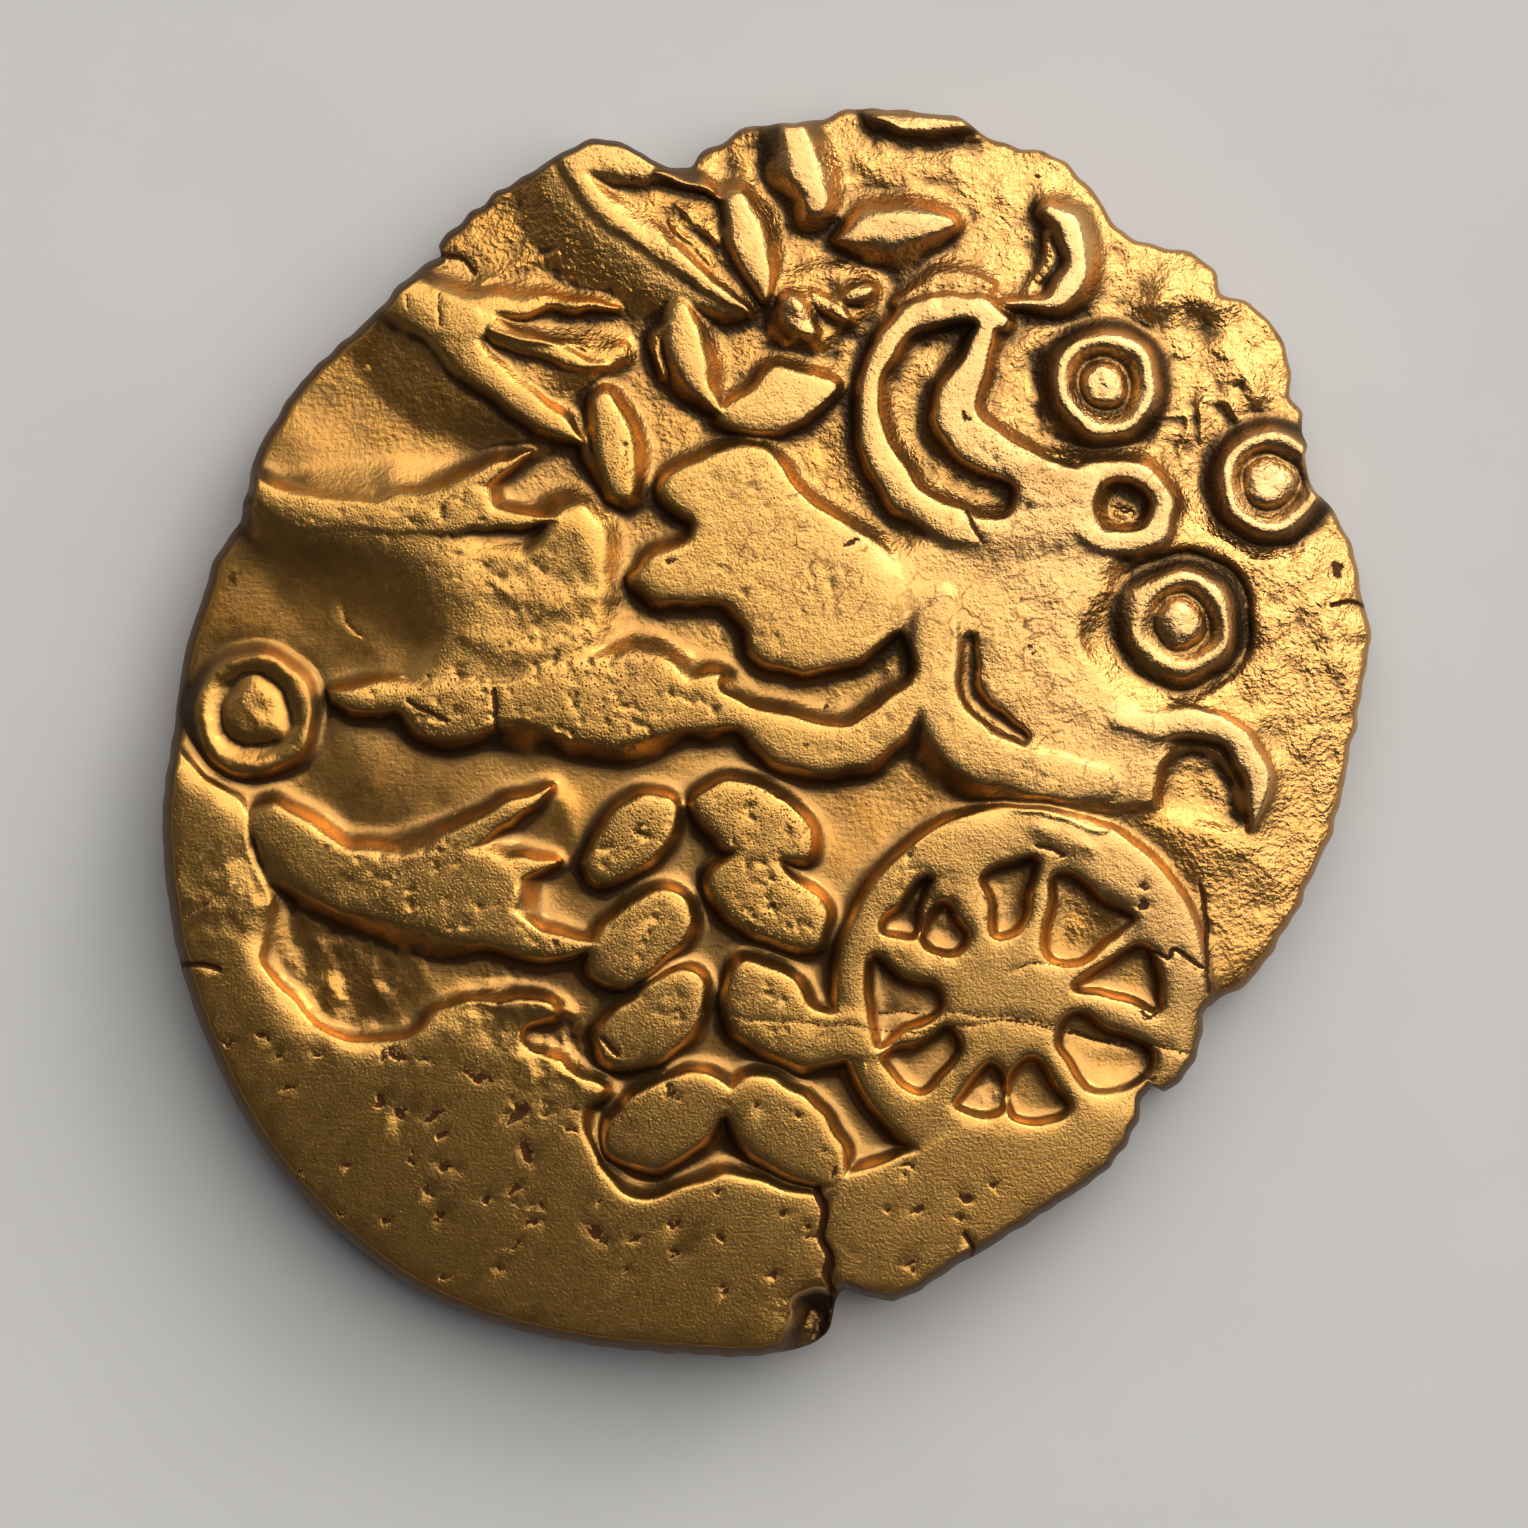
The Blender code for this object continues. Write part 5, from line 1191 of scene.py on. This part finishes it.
class Nodes:
    """Short calls for building a material's nodes."""

    def __init__(self, name):
        self.material = bpy.data.materials.new(name)
        self.material.use_nodes = True
        self.tree = self.material.node_tree
        self.shader = self.tree.nodes["Principled BSDF"]
        self.place = self.tree.nodes.new("ShaderNodeTexCoord").outputs["Object"]

    def node(self, kind, inputs=(), **settings):
        made = self.tree.nodes.new(kind)
        for key, value in settings.items():
            setattr(made, key, value)
        for key, value in dict(inputs).items():
            self.feed(made.inputs[key], value)
        return made

    def feed(self, socket, value):
        if isinstance(value, bpy.types.NodeSocket):
            self.tree.links.new(value, socket)
        else:
            socket.default_value = value

    def field(self, name):
        return self.node("ShaderNodeAttribute", attribute_name=name).outputs["Fac"]

    def math(self, operation, a, b=0.0, clamp=False):
        made = self.node("ShaderNodeMath", operation=operation, use_clamp=clamp)
        self.feed(made.inputs[0], a)
        self.feed(made.inputs[1], b)
        return made.outputs[0]

    def noise(self, size, detail=3.0, roughness=0.55, stretch=None):
        """Noise whose swells are about size metres across."""
        place = self.place
        if stretch:
            place = self.node("ShaderNodeMapping", {"Vector": place, "Scale": stretch}).outputs[0]
        inputs = {"Vector": place, "Scale": 1 / size, "Detail": detail, "Roughness": roughness}
        return self.node("ShaderNodeTexNoise", inputs).outputs["Fac"]

    def ramp(self, value, low, high, to_low=0.0, to_high=1.0):
        inputs = {"Value": value, "From Min": low, "From Max": high,
                  "To Min": to_low, "To Max": to_high}
        return self.node("ShaderNodeMapRange", inputs, clamp=True).outputs["Result"]

    def blend(self, share, first, second):
        made = self.node("ShaderNodeMix", data_type="RGBA")
        self.feed(made.inputs["Factor"], share)
        self.feed(made.inputs[6], first)
        self.feed(made.inputs[7], second)
        return made.outputs[2]

    def bump(self, height, distance, normal=None):
        made = self.node("ShaderNodeBump", {"Height": height, "Distance": distance})
        if normal:
            self.feed(made.inputs["Normal"], normal)
        return made.outputs["Normal"]


def struck_gold():
    """Gold alloy: warm in the field, paler on worn tops, paler still towards the upper right as painted
    light, brown in the recesses as patina and partly painted shade, and with painted shade at the feet,
    on the walls and on the rim, most of all towards the lower left.
    """
    n = Nodes("struck_gold")
    recess, foot, wall, crest, top, pale, grainy, crinkle, cracked, dark, stain = map(
        n.field, SURFACE_FIELDS)
    edge = n.field("edge")
    cloudy = n.noise(CLOUD_SIZE, 3)
    fine = n.noise(FINE_SIZE, 4, 0.6)
    speckle = n.noise(SPECKLE_SIZE, 3, 0.6)
    colour = n.blend(n.ramp(cloudy, 0.35, 0.68), DEEP_GOLD, WARM_GOLD)
    # Painted light: the field and the worn tops turn paler towards the upper right
    colour = n.blend(n.ramp(pale, 0.35, 1.0, 0, 0.85), colour, PAINTED_LIGHT_GOLD)
    worn = n.blend(pale, WORN_GOLD, PAINTED_LIGHT_WORN_GOLD)
    colour = n.blend(n.math("MULTIPLY", top, 0.85), colour, worn)
    colour = n.blend(n.ramp(fine, 0.45, 0.75, 0, 0.30), colour, RED_GOLD)
    # Brown in the recesses: patina there, and partly painted shade
    colour = n.blend(n.ramp(recess, 0.05, 0.60, 0, 0.55), colour, BROWN_GOLD)
    patchy = n.ramp(n.noise(PATCH_SIZE, 4, 0.6), 0.35, 0.60)
    colour = n.blend(n.math("MULTIPLY", stain, patchy), colour, STAIN_BROWN)
    # Painted shade: brown on the walls turned to the lower left
    colour = n.blend(n.math("MULTIPLY", wall, 0.85), colour, WALL_PAINTED_SHADE)
    # Painted shade: near black at the feet turned to the lower left and round the rings
    foot_shade_share = n.ramp(foot, 0.08, 0.75, 0, 0.93)
    colour = n.blend(foot_shade_share, colour, FOOT_PAINTED_SHADE)
    # Painted shade on the rim, strongest towards the lower left
    rim = n.math("MULTIPLY", edge, n.ramp(pale, 0.3, 1.0, 0.94, 0.45))
    colour = n.blend(rim, colour, RIM_PAINTED_SHADE)
    grains = n.node("ShaderNodeTexVoronoi", {"Vector": n.place, "Scale": 1 / GRAIN_SIZE})
    jitter = n.ramp(fine, 0.3, 0.8, 0.25, -0.2)
    grain = n.ramp(n.math("ADD", grains.outputs["Distance"], jitter), 0.42, 0.20)
    grain = n.math("MULTIPLY", grain, n.math("ADD", grainy, 0.03), clamp=True)
    # Darker in pits, grains and cracks, with painted shade along the creases
    ragged = n.math("ADD", dark, n.ramp(speckle, 0.3, 0.7, -0.35, 0.35))
    pit = n.ramp(ragged, 0.36, 0.56)
    sway = n.node("ShaderNodeTexNoise", {"Vector": n.place, "Scale": 1 / WEB_SWAY_SIZE, "Detail": 3.0})
    offset = n.node("ShaderNodeVectorMath", {0: sway.outputs["Color"], 1: (WEB_SWAY,) * 3},
                    operation="MULTIPLY")
    swayed = n.node("ShaderNodeVectorMath", {0: n.place, 1: offset.outputs[0]}, operation="ADD")
    web = n.node("ShaderNodeTexVoronoi", {"Vector": swayed.outputs[0], "Scale": 1 / WEB_SIZE},
                 feature="DISTANCE_TO_EDGE")
    crack = n.math("MULTIPLY", n.ramp(web.outputs["Distance"], 0.0, 0.055, 1, 0),
                   n.ramp(n.noise(WEB_PATCH_SIZE, 2), 0.47, 0.57))
    crack = n.math("MULTIPLY", crack, cracked, clamp=True)
    sunk = n.math("MAXIMUM", grain, pit)
    marks = n.math("MAXIMUM", sunk, crack)
    colour = n.blend(marks, colour, MARK_DARK_AND_CREASE_SHADE)
    n.feed(n.shader.inputs["Base Color"], colour)
    # Less metallic under the painted shade and in the dark marks
    shade_and_marks = n.math("MAXIMUM", n.math("MAXIMUM", foot_shade_share, rim), marks)
    n.feed(n.shader.inputs["Metallic"], n.ramp(shade_and_marks, 0.1, 1.0, 1.0, 0.75))
    rough = n.math("ADD", n.ramp(fine, 0.3, 0.7, 0.26, 0.34), n.math("MULTIPLY", pale, -0.04))
    rough = n.math("ADD", rough, n.math("MULTIPLY", n.math("MAXIMUM", foot, wall), 0.22))
    rough = n.math("ADD", rough, n.math("MULTIPLY", edge, 0.25))
    rough = n.math("ADD", rough, n.math("MULTIPLY", crest, -0.03))
    rough = n.math("ADD", rough, n.math("MULTIPLY", marks, 0.35), clamp=True)
    n.feed(n.shader.inputs["Roughness"], rough)
    crinkles = n.math("SUBTRACT", n.noise(CRINKLE_SIZE, 2, 0.5), 0.5)
    crinkles = n.math("MULTIPLY", crinkles, n.math("ADD", crinkle, 0.04))
    normal = n.bump(crinkles, CRINKLE_BUMP)
    satin = n.math("MULTIPLY", n.math("ADD", top, 0.5), SATIN_BUMP)
    normal = n.bump(n.noise(SATIN_SIZE, 2, 0.6), satin, normal)
    streaks = n.noise(STREAK_SIZE, 2, 0.5, stretch=STREAK_STRETCH)
    normal = n.bump(streaks, STREAK_BUMP, normal)
    normal = n.bump(n.math("MULTIPLY", sunk, -1.0), MARK_BUMP, normal)
    n.feed(n.shader.inputs["Normal"], normal)
    return n.material


def floor_material():
    n = Nodes("pale_floor")
    tone = n.ramp(n.noise(4 * MM, 4), 0.3, 0.7, 0.0, 1.0)
    n.feed(n.shader.inputs["Base Color"], n.blend(tone, FLOOR_DARK, FLOOR_PALE))
    n.shader.inputs["Roughness"].default_value = 0.9
    return n.material


def soft_light(name, towards, size, distance, radiance, colour):
    """A flat lamp that faces the coin from the direction given, with its width level."""
    lamp = bpy.data.lights.new(name, "AREA")
    lamp.shape = "RECTANGLE"
    lamp.size, lamp.size_y = size
    lamp.energy = radiance * math.pi * size[0] * size[1]
    lamp.color = colour
    made = bpy.data.objects.new(name, lamp)
    bpy.context.scene.collection.objects.link(made)
    direction = Vector(towards).normalized()
    made.location = direction * distance
    made.rotation_euler = direction.to_track_quat("Z", "Y").to_euler()


def studio():
    """The floor, the lamps, the surroundings and the camera, which looks straight down."""
    bpy.ops.mesh.primitive_plane_add(size=FLOOR_SIZE, location=(0, 0, 0))
    floor = bpy.context.object
    floor.name = "floor"
    floor.data.materials.append(floor_material())
    for name, lamp in LAMPS.items():
        soft_light(name, *lamp)
    bpy.context.scene.view_settings.view_transform = "Standard"
    world = bpy.data.worlds.new("studio")
    world.use_nodes = True
    background = world.node_tree.nodes["Background"]
    background.inputs["Color"].default_value = SURROUNDINGS
    background.inputs["Strength"].default_value = 1.0
    bpy.context.scene.world = world
    camera = bpy.data.cameras.new("camera")
    camera.lens, camera.sensor_width = LENS, SENSOR_WIDTH
    camera.clip_start = 0.005
    camera.clip_end = 10
    made = bpy.data.objects.new("camera", camera)
    bpy.context.scene.collection.objects.link(made)
    across = PHOTO_SIZE * PIXEL_X
    x, y = to_coin(PHOTO_SIZE / 2, PHOTO_SIZE / 2)
    made.location = (x, y, FACE_EDGE_HEIGHT / 2 + across * LENS / SENSOR_WIDTH)
    bpy.context.scene.camera = made


def main():
    rng = np.random.default_rng(SEED)
    face = face_sheet(rng)
    weather(face, rng)
    back = back_sheet(rng)
    coin = coin_piece(face, back)
    colour_fields(coin, face, back)
    coin.data.materials.clear()
    coin.data.materials.append(struck_gold())
    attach(coin, "root")
    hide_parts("coin")
    studio()


main()
